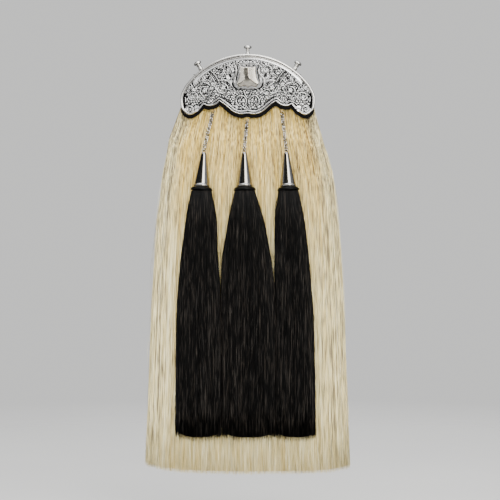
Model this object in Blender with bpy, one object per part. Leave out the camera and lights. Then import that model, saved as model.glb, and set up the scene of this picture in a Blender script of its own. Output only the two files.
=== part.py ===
"""A full dress horsehair sporran, built as separate named solids.

Metres, +Z up. The front faces -Y. The origin is midway between the two strap
loops, on the centre line of the strap that the sporran hangs from.
"""

import math
from collections import namedtuple

import bpy
import numpy as np
from mathutils import Matrix, Vector

# Cantle: the cast silver plate with its rolled rim.
CANTLE_WIDTH = 0.150
CANTLE_HEIGHT = 0.0668
CANTLE_TOP = 0.0344
CROWN_RADIUS = 0.0867
DOME = 0.006
PLATE_THICKNESS = 0.0016
RIM_WIDTH = 0.0044
RIM_RAISE = 0.0019
RIM_PROUD = 0.0003
SKIRT_WALL = 0.0015
BAND_WIDTH = 0.0034
BAND_RAISE = 0.0010
BAND_MOST = 0.35
RELIEF_SINK = 0.0008
END_STATION = 0.997
CROWN_POINTS = 10

# Leather: the piece behind the cantle, the pouch and the strap loops.
BACKING_THICKNESS = 0.0025
BACKING_SHOW = 0.0040
LEATHER_WALL = 0.0020
POUCH_DEPTH = 0.0180
POUCH_HALF_WIDTH = 0.0700
POUCH_FOOT_HALF_WIDTH = 0.0630
POUCH_BOTTOM = -0.1270
POUCH_CORNER = 0.0300
POUCH_TOP_INSET = 0.0010
ARCH_POINTS = 9
CORNER_POINTS = 7
MOUTH_HEIGHT = 0.0190
LOOP_SPACING = 0.0800
LOOP_WIDTH = 0.0160
STRAP_HEIGHT = 0.0260
STRAP_GAP = 0.0050
LOOP_FOOT = 0.0060
LOOP_THICKNESS = 0.0020
LOOP_EASE = 0.6

# White horsehair.
HEAD_THICKNESS = 0.0070
HEAD_FLAT = 0.0180
HEAD_TUCK = 0.0046
TUCK_RISE = 0.0245
TUCK_RAMP = 0.0040
FALL_BELOW_CANTLE = 0.0061
HAIR_LENGTH = 0.3920
HAIR_HALF_WIDTH = 0.1140
HAIR_DEPTH = 0.0300
HAIR_REAR_DRIFT = 0.0030
HAIR_FOOT_SAG = 0.0100
LOCK_DEPTH = 0.0014
FRONT_LOCKS = 14
REAR_LOCKS = 4
FACETS_PER_LOCK = 3
FOOT_RAGGED = 0.0035
FOOT_PARTING = 1.6
VALLEY_LIFT = 0.4
SWELL_POWER = 2.6

# Three black tassels.
CONE_BELOW_CANTLE = 0.0421
CONE_LENGTH = 0.0362
CONE_TOP_RADIUS = 0.0028
CONE_FOOT_RADIUS = 0.0072
CONE_LIP_RADIUS = 0.0085
CONE_WALL = 0.0008
CONE_LEAN = 0.0030
EYE_RADIUS = 0.0016
EYE_WIRE = 0.0010
EYE_SINK = 0.0004
CONE_LIP_HEIGHT = 0.0022
CONE_SHOULDER = 0.0006
COLLAR_RADIUS = 0.0120
COLLAR_HEIGHT = 0.0052
TASSEL_LENGTH = 0.2740
TASSEL_HALF_DEPTH = 0.0110
TASSEL_GAP = 0.0006
TASSEL_LOCK_DEPTH = 0.0011
TASSEL_LOCKS = 9
TASSEL_RAGGED = 0.0030
NECK_SHARE = 0.92
TASSEL_POWER = 0.85
SETTLE_DROP = 0.12
SWING_DROP = 0.50
SWING_POWER = 0.8

# Chains and the staples that they hang from.
LINK_PITCH = 0.0048
LINK_WIDTH = 0.0035
LINK_WIRE = 0.0008
LINK_FUSE = 0.00028
STAPLE_WIRE = 0.0010
STAPLE_WIDTH = 0.0052
STAPLE_REACH = 0.0022
STAPLE_DROP = 0.0006
CHAIN_STEPS = 40
CHAIN_PASSES = 6

# Knobs on the crown.
KNOB_ANGLE = math.radians(36.5)
KNOB_LEAN = math.radians(29)
KNOB_CAP_RADIUS = 0.0043
KNOB_FOOT_RADIUS = 0.0022
KNOB_HEIGHT = 0.0106
KNOB_STEM_RADIUS = 0.0012

# Badge on the middle of the cantle: a scroll frame with a polished shield on it.
BADGE_HALF_WIDTH = 0.0178
BADGE_TOP = 0.0256
BADGE_HEIGHT = 0.0311
BADGE_THICKNESS = 0.0012
BADGE_BEAD = 0.0008
SHIELD_HALF_WIDTH = 0.0117
SHIELD_TOP = 0.0199
SHIELD_HEIGHT = 0.0222
SHIELD_THICKNESS = 0.0008
SHIELD_CROWN = 0.0008

# Clearance between pieces that touch.
SEAT = 0.0003

# Planes that the stack of pieces is worked out from, at the cantle's sides.
BACK_Y = -(STRAP_GAP / 2 + SEAT)
POUCH_FRONT_Y = BACK_Y - POUCH_DEPTH
HEAD_REAR_Y = POUCH_FRONT_Y - SEAT
HEAD_FRONT_Y = HEAD_REAR_Y - HEAD_THICKNESS
BACKING_REAR_Y = HEAD_FRONT_Y - SEAT
BACKING_FRONT_Y = BACKING_REAR_Y - BACKING_THICKNESS
PLATE_REAR_Y = BACKING_FRONT_Y - SEAT
PLATE_FRONT_Y = PLATE_REAR_Y - PLATE_THICKNESS
SKIRT_REAR_Y = POUCH_FRONT_Y - 2 * SEAT
CANTLE_HALF = CANTLE_WIDTH / 2
CROWN_CENTRE = CANTLE_TOP - CROWN_RADIUS
HEAD_INSET = SKIRT_WALL + 2 * SEAT

# Heights that hang from the cantle's lowest point.
CANTLE_FOOT = CANTLE_TOP - CANTLE_HEIGHT
FALL_TOP = CANTLE_FOOT - FALL_BELOW_CANTLE
CONE_TOP = CANTLE_FOOT - CONE_BELOW_CANTLE
NECK_DROP = CONE_LENGTH + COLLAR_HEIGHT + 2 * SEAT
TASSEL_FOOT = CONE_TOP - NECK_DROP - TASSEL_LENGTH

SectionPoint = namedtuple("SectionPoint", "across raised")
# The lower band's ridge, in from the plate's edge, as shares of BAND_WIDTH and BAND_RAISE.
BAND_SECTION = (SectionPoint(0.25, 1.0), SectionPoint(0.70, 1.0))
# The rim's bead, in from its outer side, as shares of RIM_WIDTH and RIM_RAISE.
RIM_SECTION = (SectionPoint(0.86, 0.55), SectionPoint(0.45, 1.0), SectionPoint(0.0, 0.45))
# The badge's bead and the shield's crown: shares of the outline, and of the bead or crown.
FRAME_SECTION = (SectionPoint(0.96, 1.0), SectionPoint(0.91, 1.0), SectionPoint(0.87, 0.0))
SHIELD_SECTION = (SectionPoint(0.86, 0.0), SectionPoint(0.80, 0.5), SectionPoint(0.40, 1.0))
# The corner bosses, as shares of BOSS_RADIUS and BOSS_RAISE.
BOSS_SECTION = (
    SectionPoint(1.00, 0.4), SectionPoint(0.80, 0.8), SectionPoint(0.55, 0.5),
    SectionPoint(0.30, 0.9), SectionPoint(0.00, 1.0),
)

EdgePoint = namedtuple("EdgePoint", "across down")
# The right half of the cantle's edge, in runs that meet at corners.
# across is a share of the half width, down a share of the height from the top.
SIDE_RUN = (
    EdgePoint(0.933, 0.532),
    EdgePoint(0.984, 0.650),
    EdgePoint(1.000, 0.770),
    EdgePoint(0.972, 0.915),
    EdgePoint(0.865, 1.000),
    EdgePoint(0.760, 0.950),
    EdgePoint(0.659, 0.825),
)
LOBE_RUN = (
    EdgePoint(0.659, 0.825),
    EdgePoint(0.590, 0.858),
    EdgePoint(0.500, 0.845),
    EdgePoint(0.421, 0.783),
)
CENTRE_RUN = (
    EdgePoint(0.421, 0.783),
    EdgePoint(0.345, 0.838),
    EdgePoint(0.215, 0.958),
    EdgePoint(0.110, 0.998),
    EdgePoint(0.000, 0.985),
)

# The right half of the badge's frame and of its shield, from top to bottom.
FRAME_SHAPE = (
    EdgePoint(0.00, 0.00),
    EdgePoint(0.50, 0.03),
    EdgePoint(0.72, 0.15),
    EdgePoint(0.70, 0.30),
    EdgePoint(0.76, 0.46),
    EdgePoint(1.00, 0.56),
    EdgePoint(0.96, 0.74),
    EdgePoint(0.80, 0.90),
    EdgePoint(0.50, 0.98),
    EdgePoint(0.00, 1.00),
)
SHIELD_SHAPE = (
    EdgePoint(0.00, 0.04),
    EdgePoint(0.74, 0.00),
    EdgePoint(0.80, 0.30),
    EdgePoint(0.92, 0.60),
    EdgePoint(1.00, 0.82),
    EdgePoint(0.86, 0.96),
    EdgePoint(0.40, 0.95),
    EdgePoint(0.00, 1.00),
)

HairSection = namedtuple("HairSection", "drop width depth edge")
# The fall's sections. drop is a share of HAIR_LENGTH, width of HAIR_HALF_WIDTH,
# depth (at the middle) and edge (at the sides) of HAIR_DEPTH.
HAIR_SECTIONS = (
    HairSection(0.00, 0.672, 0.29, 0.08),
    HairSection(0.04, 0.735, 0.50, 0.14),
    HairSection(0.10, 0.795, 0.68, 0.20),
    HairSection(0.20, 0.848, 0.82, 0.25),
    HairSection(0.35, 0.896, 0.91, 0.28),
    HairSection(0.55, 0.938, 0.97, 0.30),
    HairSection(0.80, 0.966, 1.00, 0.32),
    HairSection(1.00, 1.000, 1.00, 0.32),
)

# Where the faceted sections lie along the fall and along a tassel, as shares of the length.
HAIR_RING_DROPS = (0.0, 0.04, 0.10, 0.19, 0.30, 0.44, 0.60, 0.78)
TASSEL_RING_DROPS = (0.0, 0.05, 0.12, 0.22, 0.36, 0.60)

TasselSection = namedtuple("TasselSection", "drop spread")
# spread goes from 0, the width under the collar, to 1, the width at the foot.
TASSEL_SECTIONS = (
    TasselSection(0.00, 0.00),
    TasselSection(0.06, 0.16),
    TasselSection(0.12, 0.34),
    TasselSection(0.20, 0.50),
    TasselSection(0.32, 0.70),
    TasselSection(0.50, 0.86),
    TasselSection(0.75, 0.96),
    TasselSection(1.00, 1.00),
)

Tassel = namedtuple("Tassel", "side anchor cone collar foot_half")
# Where each tassel hangs: its staple, as a share of the cantle's half width, then the top of its
# cone, its collar and half its width at the foot, as shares of HAIR_HALF_WIDTH.
TASSELS = (
    Tassel("left", -0.497, -0.423, -0.446, 0.225),
    Tassel("centre", 0.000, -0.032, -0.028, 0.253),
    Tassel("right", 0.497, 0.372, 0.392, 0.198),
)
CENTRE_FOOT = 0.010

Scroll = namedtuple("Scroll", "x z radius start turn width")
# Raised scrolls on the right half, each an arc that closes up as it turns.
# x and z are shares of the half width and of the height below the top,
# radius and width shares of the height, start and turn in degrees.
SCROLLS = (
    Scroll(0.093, 0.805, 0.090, 160, -300, 0.030),
    Scroll(0.385, 0.560, 0.118, 250, -280, 0.034),
    Scroll(0.560, 0.650, 0.110, 90, 290, 0.034),
    Scroll(0.760, 0.640, 0.105, 200, -270, 0.032),
    Scroll(0.400, 0.250, 0.085, 60, 260, 0.028),
)
Leaf = namedtuple("Leaf", "x z angle length width")
# Raised leaves on the right half, each a pointed ridge.
LEAVES = (
    Leaf(0.045, 0.670, 60, 0.090, 0.045),
    Leaf(0.245, 0.690, -35, 0.150, 0.050),
    Leaf(0.300, 0.320, 100, 0.150, 0.050),
    Leaf(0.565, 0.400, -50, 0.180, 0.065),
    Leaf(0.670, 0.480, 12, 0.160, 0.055),
    Leaf(0.330, 0.760, -30, 0.080, 0.040),
    Leaf(0.900, 0.640, 85, 0.140, 0.045),
)
BOSS_ACROSS = 0.865
BOSS_DOWN = 0.865
BOSS_RADIUS = 0.0052
BOSS_RAISE = 0.0016
RELIEF_RAISE = 0.0011
SCROLL_POINTS = 8
SCROLL_CLOSE = 0.62

MATERIALS = {
    "cast_silver": dict(colour=(0.78, 0.78, 0.77), roughness=0.28, metallic=1.0),
    "polished_silver": dict(colour=(0.86, 0.85, 0.82), roughness=0.12, metallic=1.0),
    "chain_steel": dict(colour=(0.62, 0.61, 0.59), roughness=0.25, metallic=1.0),
    "black_leather": dict(colour=(0.018, 0.017, 0.016), roughness=0.45, metallic=0.0),
    "white_horsehair": dict(colour=(0.74, 0.66, 0.50), roughness=0.55, metallic=0.0),
    "black_horsehair": dict(colour=(0.012, 0.011, 0.010), roughness=0.45, metallic=0.0),
}


def clear_scene():
    for obj in list(bpy.data.objects):
        bpy.data.objects.remove(obj, do_unlink=True)


def material(name):
    """The named finish, made once."""
    found = bpy.data.materials.get(name)
    if found:
        return found
    values = MATERIALS[name]
    made = bpy.data.materials.new(name)
    made.use_nodes = True
    shader = made.node_tree.nodes["Principled BSDF"]
    shader.inputs["Base Color"].default_value = (*values["colour"], 1.0)
    shader.inputs["Roughness"].default_value = values["roughness"]
    shader.inputs["Metallic"].default_value = values["metallic"]
    return made


def add_object(name, points, faces, finish, parent=None, smooth_angle=40):
    """A mesh object whose faces point outwards."""
    mesh = bpy.data.meshes.new(name)
    mesh.from_pydata([tuple(p) for p in points], [], faces)
    mesh.materials.append(material(finish))
    mesh.shade_smooth()
    mesh.set_sharp_from_angle(angle=math.radians(smooth_angle))
    obj = bpy.data.objects.new(name, mesh)
    bpy.context.scene.collection.objects.link(obj)
    obj.parent = parent
    return obj


def add_helper(name, points, faces, finish, parent=None):
    """A hidden mesh that a Boolean modifier reads."""
    obj = add_object(name, points, faces, finish, parent)
    obj.hide_render = True
    obj.display_type = "WIRE"
    return obj


def combine(obj, helper, operation, self_crossing=False):
    step = obj.modifiers.new(f"{operation.lower()}_{helper.name}", "BOOLEAN")
    step.operation = operation
    step.object = helper
    step.use_self = self_crossing


def joined(parts):
    """Several (points, faces) as one."""
    points, faces = [], []
    for part_points, part_faces in parts:
        start = len(points)
        points.extend(part_points)
        faces.extend([tuple(i + start for i in face) for face in part_faces])
    return points, faces


def loft(rings, closed_path=False, uneven_ends=False):
    """Skin over rings of equal length, turned outwards. Flat ends are one face each."""
    count = len(rings[0])
    points = [Vector(p) for ring in rings for p in ring]
    faces = []
    last = len(rings) if closed_path else len(rings) - 1
    for i in range(last):
        here, there = i * count, (i + 1) % len(rings) * count
        for j in range(count):
            k = (j + 1) % count
            faces.append((here + j, here + k, there + k, there + j))
    ends = [list(range(count))[::-1], [(len(rings) - 1) * count + j for j in range(count)]]
    if uneven_ends:
        faces.extend(face for end in ends for face in fan(points, end))
    elif not closed_path:
        faces.extend(tuple(end) for end in ends)
    return outwards(points, faces)


def fan(points, ring):
    """Triangles from a new point in the middle of a ring."""
    middle = sum((points[i] for i in ring), Vector()) / len(ring)
    points.append(middle)
    hub = len(points) - 1
    return [(ring[j], ring[(j + 1) % len(ring)], hub) for j in range(len(ring))]


def outwards(points, faces):
    """The same faces, reversed if they enclose a negative volume."""
    volume = 0.0
    for face in faces:
        for j in range(1, len(face) - 1):
            a, b, c = points[face[0]], points[face[j]], points[face[j + 1]]
            volume += a.dot(b.cross(c))
    if volume < 0:
        faces = [tuple(reversed(face)) for face in faces]
    return points, faces


def lathe(profile, sides):
    """A turned solid. The profile is (radius, height) pairs; both ends lie on the axis."""
    rings = []
    for radius, height in profile[1:-1]:
        turns = [2 * math.pi * j / sides for j in range(sides)]
        rings.append([(radius * math.cos(t), radius * math.sin(t), height) for t in turns])
    points = [Vector(p) for ring in rings for p in ring]
    faces = []
    for i in range(len(rings) - 1):
        for j in range(sides):
            k = (j + 1) % sides
            a, b = i * sides, (i + 1) * sides
            faces.append((a + j, a + k, b + k, b + j))
    for ring_start, (_, height) in ((0, profile[0]), ((len(rings) - 1) * sides, profile[-1])):
        points.append(Vector((0, 0, height)))
        hub = len(points) - 1
        order = range(sides) if ring_start else reversed(range(sides))
        order = [ring_start + j for j in order]
        faces.extend((order[j], order[(j + 1) % sides], hub) for j in range(sides))
    return outwards(points, faces)


def tube(path, radius, sides, closed=False, inner=None):
    """Wire along a path in one plane. A corner of its section points at inner, if given."""
    path = [Vector(p) for p in path]
    count = len(path)
    normal = plane_normal(path)
    rings = []
    for i, point in enumerate(path):
        before = path[i - 1] if closed or i else point
        after = path[(i + 1) % count] if closed or i < count - 1 else point
        along = (after - before).normalized()
        side = along.cross(normal).normalized()
        if inner is not None and side.dot(Vector(inner) - point) < 0:
            side = -side
        ring = []
        for j in range(sides):
            turn = 2 * math.pi * j / sides
            ring.append(point + radius * (math.cos(turn) * side + math.sin(turn) * normal))
        rings.append(ring)
    return loft(rings, closed_path=closed)


def plane_normal(path):
    first = path[1] - path[0]
    for point in path[2:]:
        normal = first.cross(point - path[0])
        if normal.length > 1e-12:
            return normal.normalized()
    return first.orthogonal().normalized()


def smooth_lookup(rows, at, field):
    """A table's column at any drop: cubic pieces through its rows, flat at no row."""
    xs = [row.drop for row in rows]
    ys = [getattr(row, field) for row in rows]
    slopes = [(ys[min(i + 1, len(ys) - 1)] - ys[max(i - 1, 0)])
              / (xs[min(i + 1, len(xs) - 1)] - xs[max(i - 1, 0)]) for i in range(len(xs))]
    at = min(max(at, xs[0]), xs[-1])
    i = min(max(int(np.searchsorted(xs, at, side="right")) - 1, 0), len(xs) - 2)
    span = xs[i + 1] - xs[i]
    t = (at - xs[i]) / span
    return (ys[i] * (1 + 2 * t) * (1 - t) ** 2 + ys[i + 1] * t * t * (3 - 2 * t)
            + slopes[i] * span * t * (1 - t) ** 2 - slopes[i + 1] * span * t * t * (1 - t))


def smooth_run(run, steps):
    """Points on a smooth curve through a run of the cantle's edge."""
    ends = [2 * np.array(run[0]) - np.array(run[1]), 2 * np.array(run[-1]) - np.array(run[-2])]
    knots = [ends[0], *[np.array(p) for p in run], ends[1]]
    made = []
    for a, b, c, d in zip(knots, knots[1:], knots[2:], knots[3:]):
        for t in np.arange(steps) / steps:
            made.append(0.5 * (2 * b + (c - a) * t + (2 * a - 5 * b + 4 * c - d) * t ** 2
                               + (3 * b - a - 3 * c + d) * t ** 3))
    made.append(np.array(run[-1], float))
    return made


def edge_point(share):
    """(x, z) of a point given as shares of the cantle."""
    return share[0] * CANTLE_HALF, CANTLE_TOP - share[1] * CANTLE_HEIGHT


def crown_height(x, inset=0.0):
    """Height of the crown's arc over x, in from the edge by inset."""
    radius = CROWN_RADIUS - inset
    return CROWN_CENTRE + math.sqrt(max(radius ** 2 - x ** 2, 0.0))


def crown_half_width(z, inset=0.0):
    radius = CROWN_RADIUS - inset
    return math.sqrt(max(radius ** 2 - (z - CROWN_CENTRE) ** 2, 0.0))


def side_points():
    """The cantle's side and lower edge as (x, z), from the crown's end to the middle."""
    shares = smooth_run(SIDE_RUN, 3)[:-1] + smooth_run(LOBE_RUN, 2)[:-1] + smooth_run(CENTRE_RUN, 2)
    return [edge_point(share) for share in shares]


def split_side():
    """The side points as an upper part, down to the widest point, and a lower part."""
    points = side_points()
    widest = max(range(len(points)), key=lambda i: points[i][0])
    return points[:widest + 1], points[widest:]


UPPER_SIDE, LOWER_SIDE = split_side()


def lower_edge(x):
    """Height of the cantle's lower edge at x."""
    xs, zs = zip(*sorted(LOWER_SIDE))
    return float(np.interp(abs(x), xs, zs))


def upper_edge(x, inset=0.0):
    """Height of the cantle's upper edge at x, in from the edge by inset."""
    if abs(x) + inset <= UPPER_SIDE[0][0]:
        return crown_height(x, inset)
    xs, zs = zip(*sorted(UPPER_SIDE))
    return float(np.interp(abs(x) + inset, xs, zs)) - inset / 2


def dome(x):
    """How far the cantle bows forward at x."""
    return DOME * max(1 - (x / CANTLE_HALF) ** 2, 0.0)


def hair_half_width(z):
    """Half width of the white hair, from its head down to its foot."""
    if z >= FALL_TOP:
        widest = CANTLE_HALF - HEAD_INSET
        waist = UPPER_SIDE[-1][1]
        if z < waist:
            share = (waist - z) / (waist - FALL_TOP)
            return widest + share * (HAIR_SECTIONS[0].width * HAIR_HALF_WIDTH - widest)
        return min(widest, crown_half_width(z, HEAD_INSET))
    return HAIR_HALF_WIDTH * smooth_lookup(HAIR_SECTIONS, (FALL_TOP - z) / HAIR_LENGTH, "width")


def hair_front(x, z):
    """The y of the white hair's front, before it is parted into locks."""
    half = hair_half_width(z)
    share = min(abs(x) / half, 1.0)
    tucked = HEAD_THICKNESS + dome(x)
    if z >= FALL_TOP:
        tuck = min(max((FALL_TOP + TUCK_RISE - z) / TUCK_RAMP, 0.0), 1.0)
        return HEAD_REAR_Y - tucked + HEAD_TUCK * tuck
    drop = (FALL_TOP - z) / HAIR_LENGTH
    depth = HAIR_DEPTH * smooth_lookup(HAIR_SECTIONS, drop, "depth")
    edge = HAIR_DEPTH * smooth_lookup(HAIR_SECTIONS, drop, "edge")
    round_part = max(1 - share ** SWELL_POWER, 0.0) ** (1 / SWELL_POWER)
    swell = HEAD_REAR_Y - edge - (depth - edge) * round_part
    root = HEAD_REAR_Y - tucked + HEAD_TUCK
    mix = min(drop / HAIR_SECTIONS[1].drop, 1.0)
    return root + (swell - root) * mix * mix * (3 - 2 * mix)


def hair_rear(z):
    """The y of the white hair's rear: it drifts back below the pouch."""
    drop = min(max((POUCH_BOTTOM - z) / (POUCH_BOTTOM - FALL_TOP + HAIR_LENGTH), 0.0), 1.0)
    return HEAD_REAR_Y + HAIR_REAR_DRIFT * drop


def scatter(n):
    """A fixed number from 0 to 1 for lock n."""
    return (n * 0.61803 + 0.37 * math.sin(n * 12.9)) % 1.0


def hair_ring(z, part_depth, ragged=0.0):
    """One section of the white hair, anticlockwise from above: locks with a valley between each."""
    half = hair_half_width(z)
    ring = []
    for locks, side in ((FRONT_LOCKS, 1), (REAR_LOCKS, -1)):
        count = locks * FACETS_PER_LOCK
        for i in range(count):
            x = side * half * (2 * (i + 0.5) / count - 1)
            valley = i % FACETS_PER_LOCK == 0
            y = (hair_front(x, z) if side > 0 else hair_rear(z)) + side * part_depth * valley
            ring.append((x, y, z - tip_drop(x, i, ragged)))
    return ring


def tip_drop(x, facet, ragged):
    """How far the cut end of a facet hangs below its section, where the section is the foot."""
    if not ragged:
        return 0.0
    valley = facet % FACETS_PER_LOCK == 0
    return ragged * (-VALLEY_LIFT if valley else scatter(facet // FACETS_PER_LOCK)) + foot_sag(x)


def foot_sag(x):
    """The fall is cut to a shallow arc, lowest in the middle."""
    return HAIR_FOOT_SAG * (1 - (x / HAIR_HALF_WIDTH) ** 2)


def make_hair_fall():
    """The white horsehair: a flat stitched head behind the cantle, and the fall in locks."""
    top = crown_height(HEAD_FLAT, HEAD_INSET)
    tuck_top = FALL_TOP + TUCK_RISE
    head_levels = [top + (tuck_top - top) * share for share in (0.0, 0.12, 0.36, 1.0)]
    head_levels.append(tuck_top - TUCK_RAMP)
    rings = [hair_ring(z, 0.0) for z in head_levels]
    for drop in HAIR_RING_DROPS:
        parting = LOCK_DEPTH * min(drop / HAIR_SECTIONS[2].drop, 1)
        rings.append(hair_ring(FALL_TOP - drop * HAIR_LENGTH, parting))
    foot = FALL_TOP - HAIR_LENGTH + HAIR_FOOT_SAG
    rings.append(hair_ring(foot, FOOT_PARTING * LOCK_DEPTH, ragged=FOOT_RAGGED))
    return add_object("hair_fall", *loft(rings, uneven_ends=True), "white_horsehair")


def make_cantle():
    """The cast plate, with its banded lower edge, rolled rim, skirt and raised scrolls."""
    stations = plate_stations()
    rings = []
    for x in stations:
        low, high = lower_edge(x), upper_edge(x)
        band = min(BAND_WIDTH, BAND_MOST * (high - low))
        front, rear = PLATE_FRONT_Y - dome(x), PLATE_REAR_Y - dome(x)
        ridge_points = [(x, front - point.raised * BAND_RAISE, low + point.across * band)
                        for point in BAND_SECTION]
        rings.append([(x, rear, low), (x, front, low), *ridge_points, (x, front, low + band),
                      (x, front, high), (x, rear, high)])
    cantle = add_object("cantle", *loft(rings), "cast_silver")
    rim = add_helper("cantle_rim", *rim_mesh(), "cast_silver")
    combine(cantle, rim, "UNION")
    relief = add_helper("cantle_relief", *relief_mesh(), "cast_silver")
    combine(cantle, relief, "UNION", self_crossing=True)
    return cantle


def plate_stations():
    """The x places of the plate's sections: one at each point of its lower edge."""
    last = END_STATION * CANTLE_HALF
    right = sorted({round(x, 6) for x, _ in LOWER_SIDE if 0.0 < x < last})
    right.append(last)
    return [-x for x in reversed(right)] + [0.0] + right


def rim_path():
    """(x, z) points and outward directions over the crown, from side to side."""
    reach = math.asin(UPPER_SIDE[0][0] / CROWN_RADIUS)
    crown = [(CROWN_RADIUS * math.sin(a), CROWN_CENTRE + CROWN_RADIUS * math.cos(a))
             for a in np.linspace(0, reach, CROWN_POINTS)]
    right = crown[:-1] + UPPER_SIDE
    whole = [(-x, z) for x, z in reversed(right[1:])] + right
    made = []
    for i, (x, z) in enumerate(whole):
        (x0, z0), (x1, z1) = whole[max(i - 1, 0)], whole[min(i + 1, len(whole) - 1)]
        length = math.hypot(x1 - x0, z1 - z0)
        made.append((x, z, -(z1 - z0) / length, (x1 - x0) / length))
    return made


def rim_mesh():
    """A rounded bead over the plate's edge, with the skirt that goes back from it."""
    rings = []
    for x, z, out_x, out_z in rim_path():
        front = PLATE_FRONT_Y - dome(x)
        section = [(RIM_PROUD - RIM_WIDTH, front + RELIEF_SINK)]
        section += [(RIM_PROUD - point.across * RIM_WIDTH, front - point.raised * RIM_RAISE)
                    for point in RIM_SECTION]
        section += [(RIM_PROUD, SKIRT_REAR_Y), (RIM_PROUD - SKIRT_WALL, SKIRT_REAR_Y),
                    (RIM_PROUD - SKIRT_WALL, front + RELIEF_SINK)]
        rings.append([(x + n * out_x, y, z + n * out_z) for n, y in section])
    return loft(rings)


def ridge(line, widths, raise_by):
    """A raised ridge on the plate's front along a line of (x, z) points."""
    rings = []
    for i, (x, z) in enumerate(line):
        x0, z0 = line[max(i - 1, 0)]
        x1, z1 = line[min(i + 1, len(line) - 1)]
        length = math.hypot(x1 - x0, z1 - z0)
        side_x, side_z = -(z1 - z0) / length * widths[i] / 2, (x1 - x0) / length * widths[i] / 2
        left, right = (x - side_x, z - side_z), (x + side_x, z + side_z)
        rings.append([
            (left[0], PLATE_FRONT_Y - dome(left[0]) + RELIEF_SINK, left[1]),
            (x, PLATE_FRONT_Y - dome(x) - raise_by, z),
            (right[0], PLATE_FRONT_Y - dome(right[0]) + RELIEF_SINK, right[1]),
        ])
    return loft(rings)


def scroll_line(scroll, side):
    """An arc whose radius closes up by SCROLL_CLOSE as it turns."""
    x, z = edge_point((scroll.x, scroll.z))
    line = []
    for t in np.linspace(0, 1, SCROLL_POINTS):
        angle = math.radians(scroll.start + scroll.turn * t)
        radius = scroll.radius * CANTLE_HEIGHT * (1 - SCROLL_CLOSE * t)
        line.append((side * (x + radius * math.cos(angle)), z + radius * math.sin(angle)))
    return line


def leaf_line(leaf, side):
    x, z = edge_point((leaf.x, leaf.z))
    angle, half = math.radians(leaf.angle), leaf.length * CANTLE_HEIGHT / 2
    step = (half * math.cos(angle), half * math.sin(angle))
    return [(side * (x + t * step[0]), z + t * step[1]) for t in (-1, -0.35, 0.35, 1)]


def relief_mesh():
    """All that stands up from the plate: scrolls, leaves and the two corner bosses."""
    parts = []
    for side in (-1, 1):
        for scroll in SCROLLS:
            line = scroll_line(scroll, side)
            width = scroll.width * CANTLE_HEIGHT
            widths = np.linspace(1.25 * width, 0.75 * width, SCROLL_POINTS)
            parts.append(ridge(line, widths, RELIEF_RAISE))
        for leaf in LEAVES:
            width = leaf.width * CANTLE_HEIGHT
            parts.append(ridge(leaf_line(leaf, side), [0.1 * width, width, width, 0.1 * width],
                               RELIEF_RAISE))
        parts.append(boss_mesh(side))
    return joined(parts)


def boss_mesh(side):
    """A low round boss in the cantle's lower corner."""
    x, z = edge_point((BOSS_ACROSS, BOSS_DOWN))
    profile = [(0, -RELIEF_SINK), (BOSS_RADIUS, -RELIEF_SINK)]
    profile += [(point.across * BOSS_RADIUS, point.raised * BOSS_RAISE) for point in BOSS_SECTION]
    points, faces = lathe(profile, 12)
    place = Matrix.Translation((side * x, PLATE_FRONT_Y - dome(x), z)) @ Matrix.Rotation(
        math.radians(90), 4, "X")
    return [place @ p for p in points], faces


def make_backing():
    """The black leather behind the cantle, which shows below its lower edge."""
    inset = HEAD_INSET - SEAT
    reach = CANTLE_HALF - inset
    stations = [x for x in plate_stations() if abs(x) < 0.99 * reach]
    stations = [-reach, *stations, reach]
    rings = []
    for x in stations:
        low, high = lower_edge(x) - BACKING_SHOW, upper_edge(x, inset)
        front, rear = BACKING_FRONT_Y - dome(x), BACKING_REAR_Y - dome(x)
        rings.append([(x, rear, low), (x, front, low), (x, front, high), (x, rear, high)])
    return add_object("cantle_backing", *loft(rings), "black_leather")


def mirrored_outline(half_shape, half_width, top, height, share):
    """A closed outline from its right half, shrunk about its middle by share."""
    middle = top - height / 2
    half = [(share * row.across * half_width, middle + share * (top - row.down * height - middle))
            for row in half_shape]
    return half + [(-x, z) for x, z in reversed(half[1:-1])]


def make_badge():
    """The scroll frame on the cantle, with a bead round it, and the domed shield on that."""
    seat = PLATE_FRONT_Y - DOME - SEAT
    face = BADGE_THICKNESS
    steps = [(1.0, 0.0), (1.0, face)]
    steps += [(point.across, face + point.raised * BADGE_BEAD) for point in FRAME_SECTION]
    outlines = [mirrored_outline(FRAME_SHAPE, BADGE_HALF_WIDTH, BADGE_TOP, BADGE_HEIGHT, share)
                for share, _ in steps]
    rings = [[(x, seat - lift, z) for x, z in outline] for outline, (_, lift) in zip(outlines, steps)]
    add_object("badge_frame", *loft(rings), "polished_silver")

    seat -= face + SEAT
    steps = [(1.0, 0.0), (1.0, SHIELD_THICKNESS)]
    steps += [(point.across, SHIELD_THICKNESS + point.raised * SHIELD_CROWN) for point in SHIELD_SECTION]
    outlines = [mirrored_outline(SHIELD_SHAPE, SHIELD_HALF_WIDTH, SHIELD_TOP, SHIELD_HEIGHT, share)
                for share, _ in steps]
    rings = [[(x, seat - lift, z) for x, z in outline] for outline, (_, lift) in zip(outlines, steps)]
    add_object("badge_shield", *loft(rings), "polished_silver")


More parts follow.
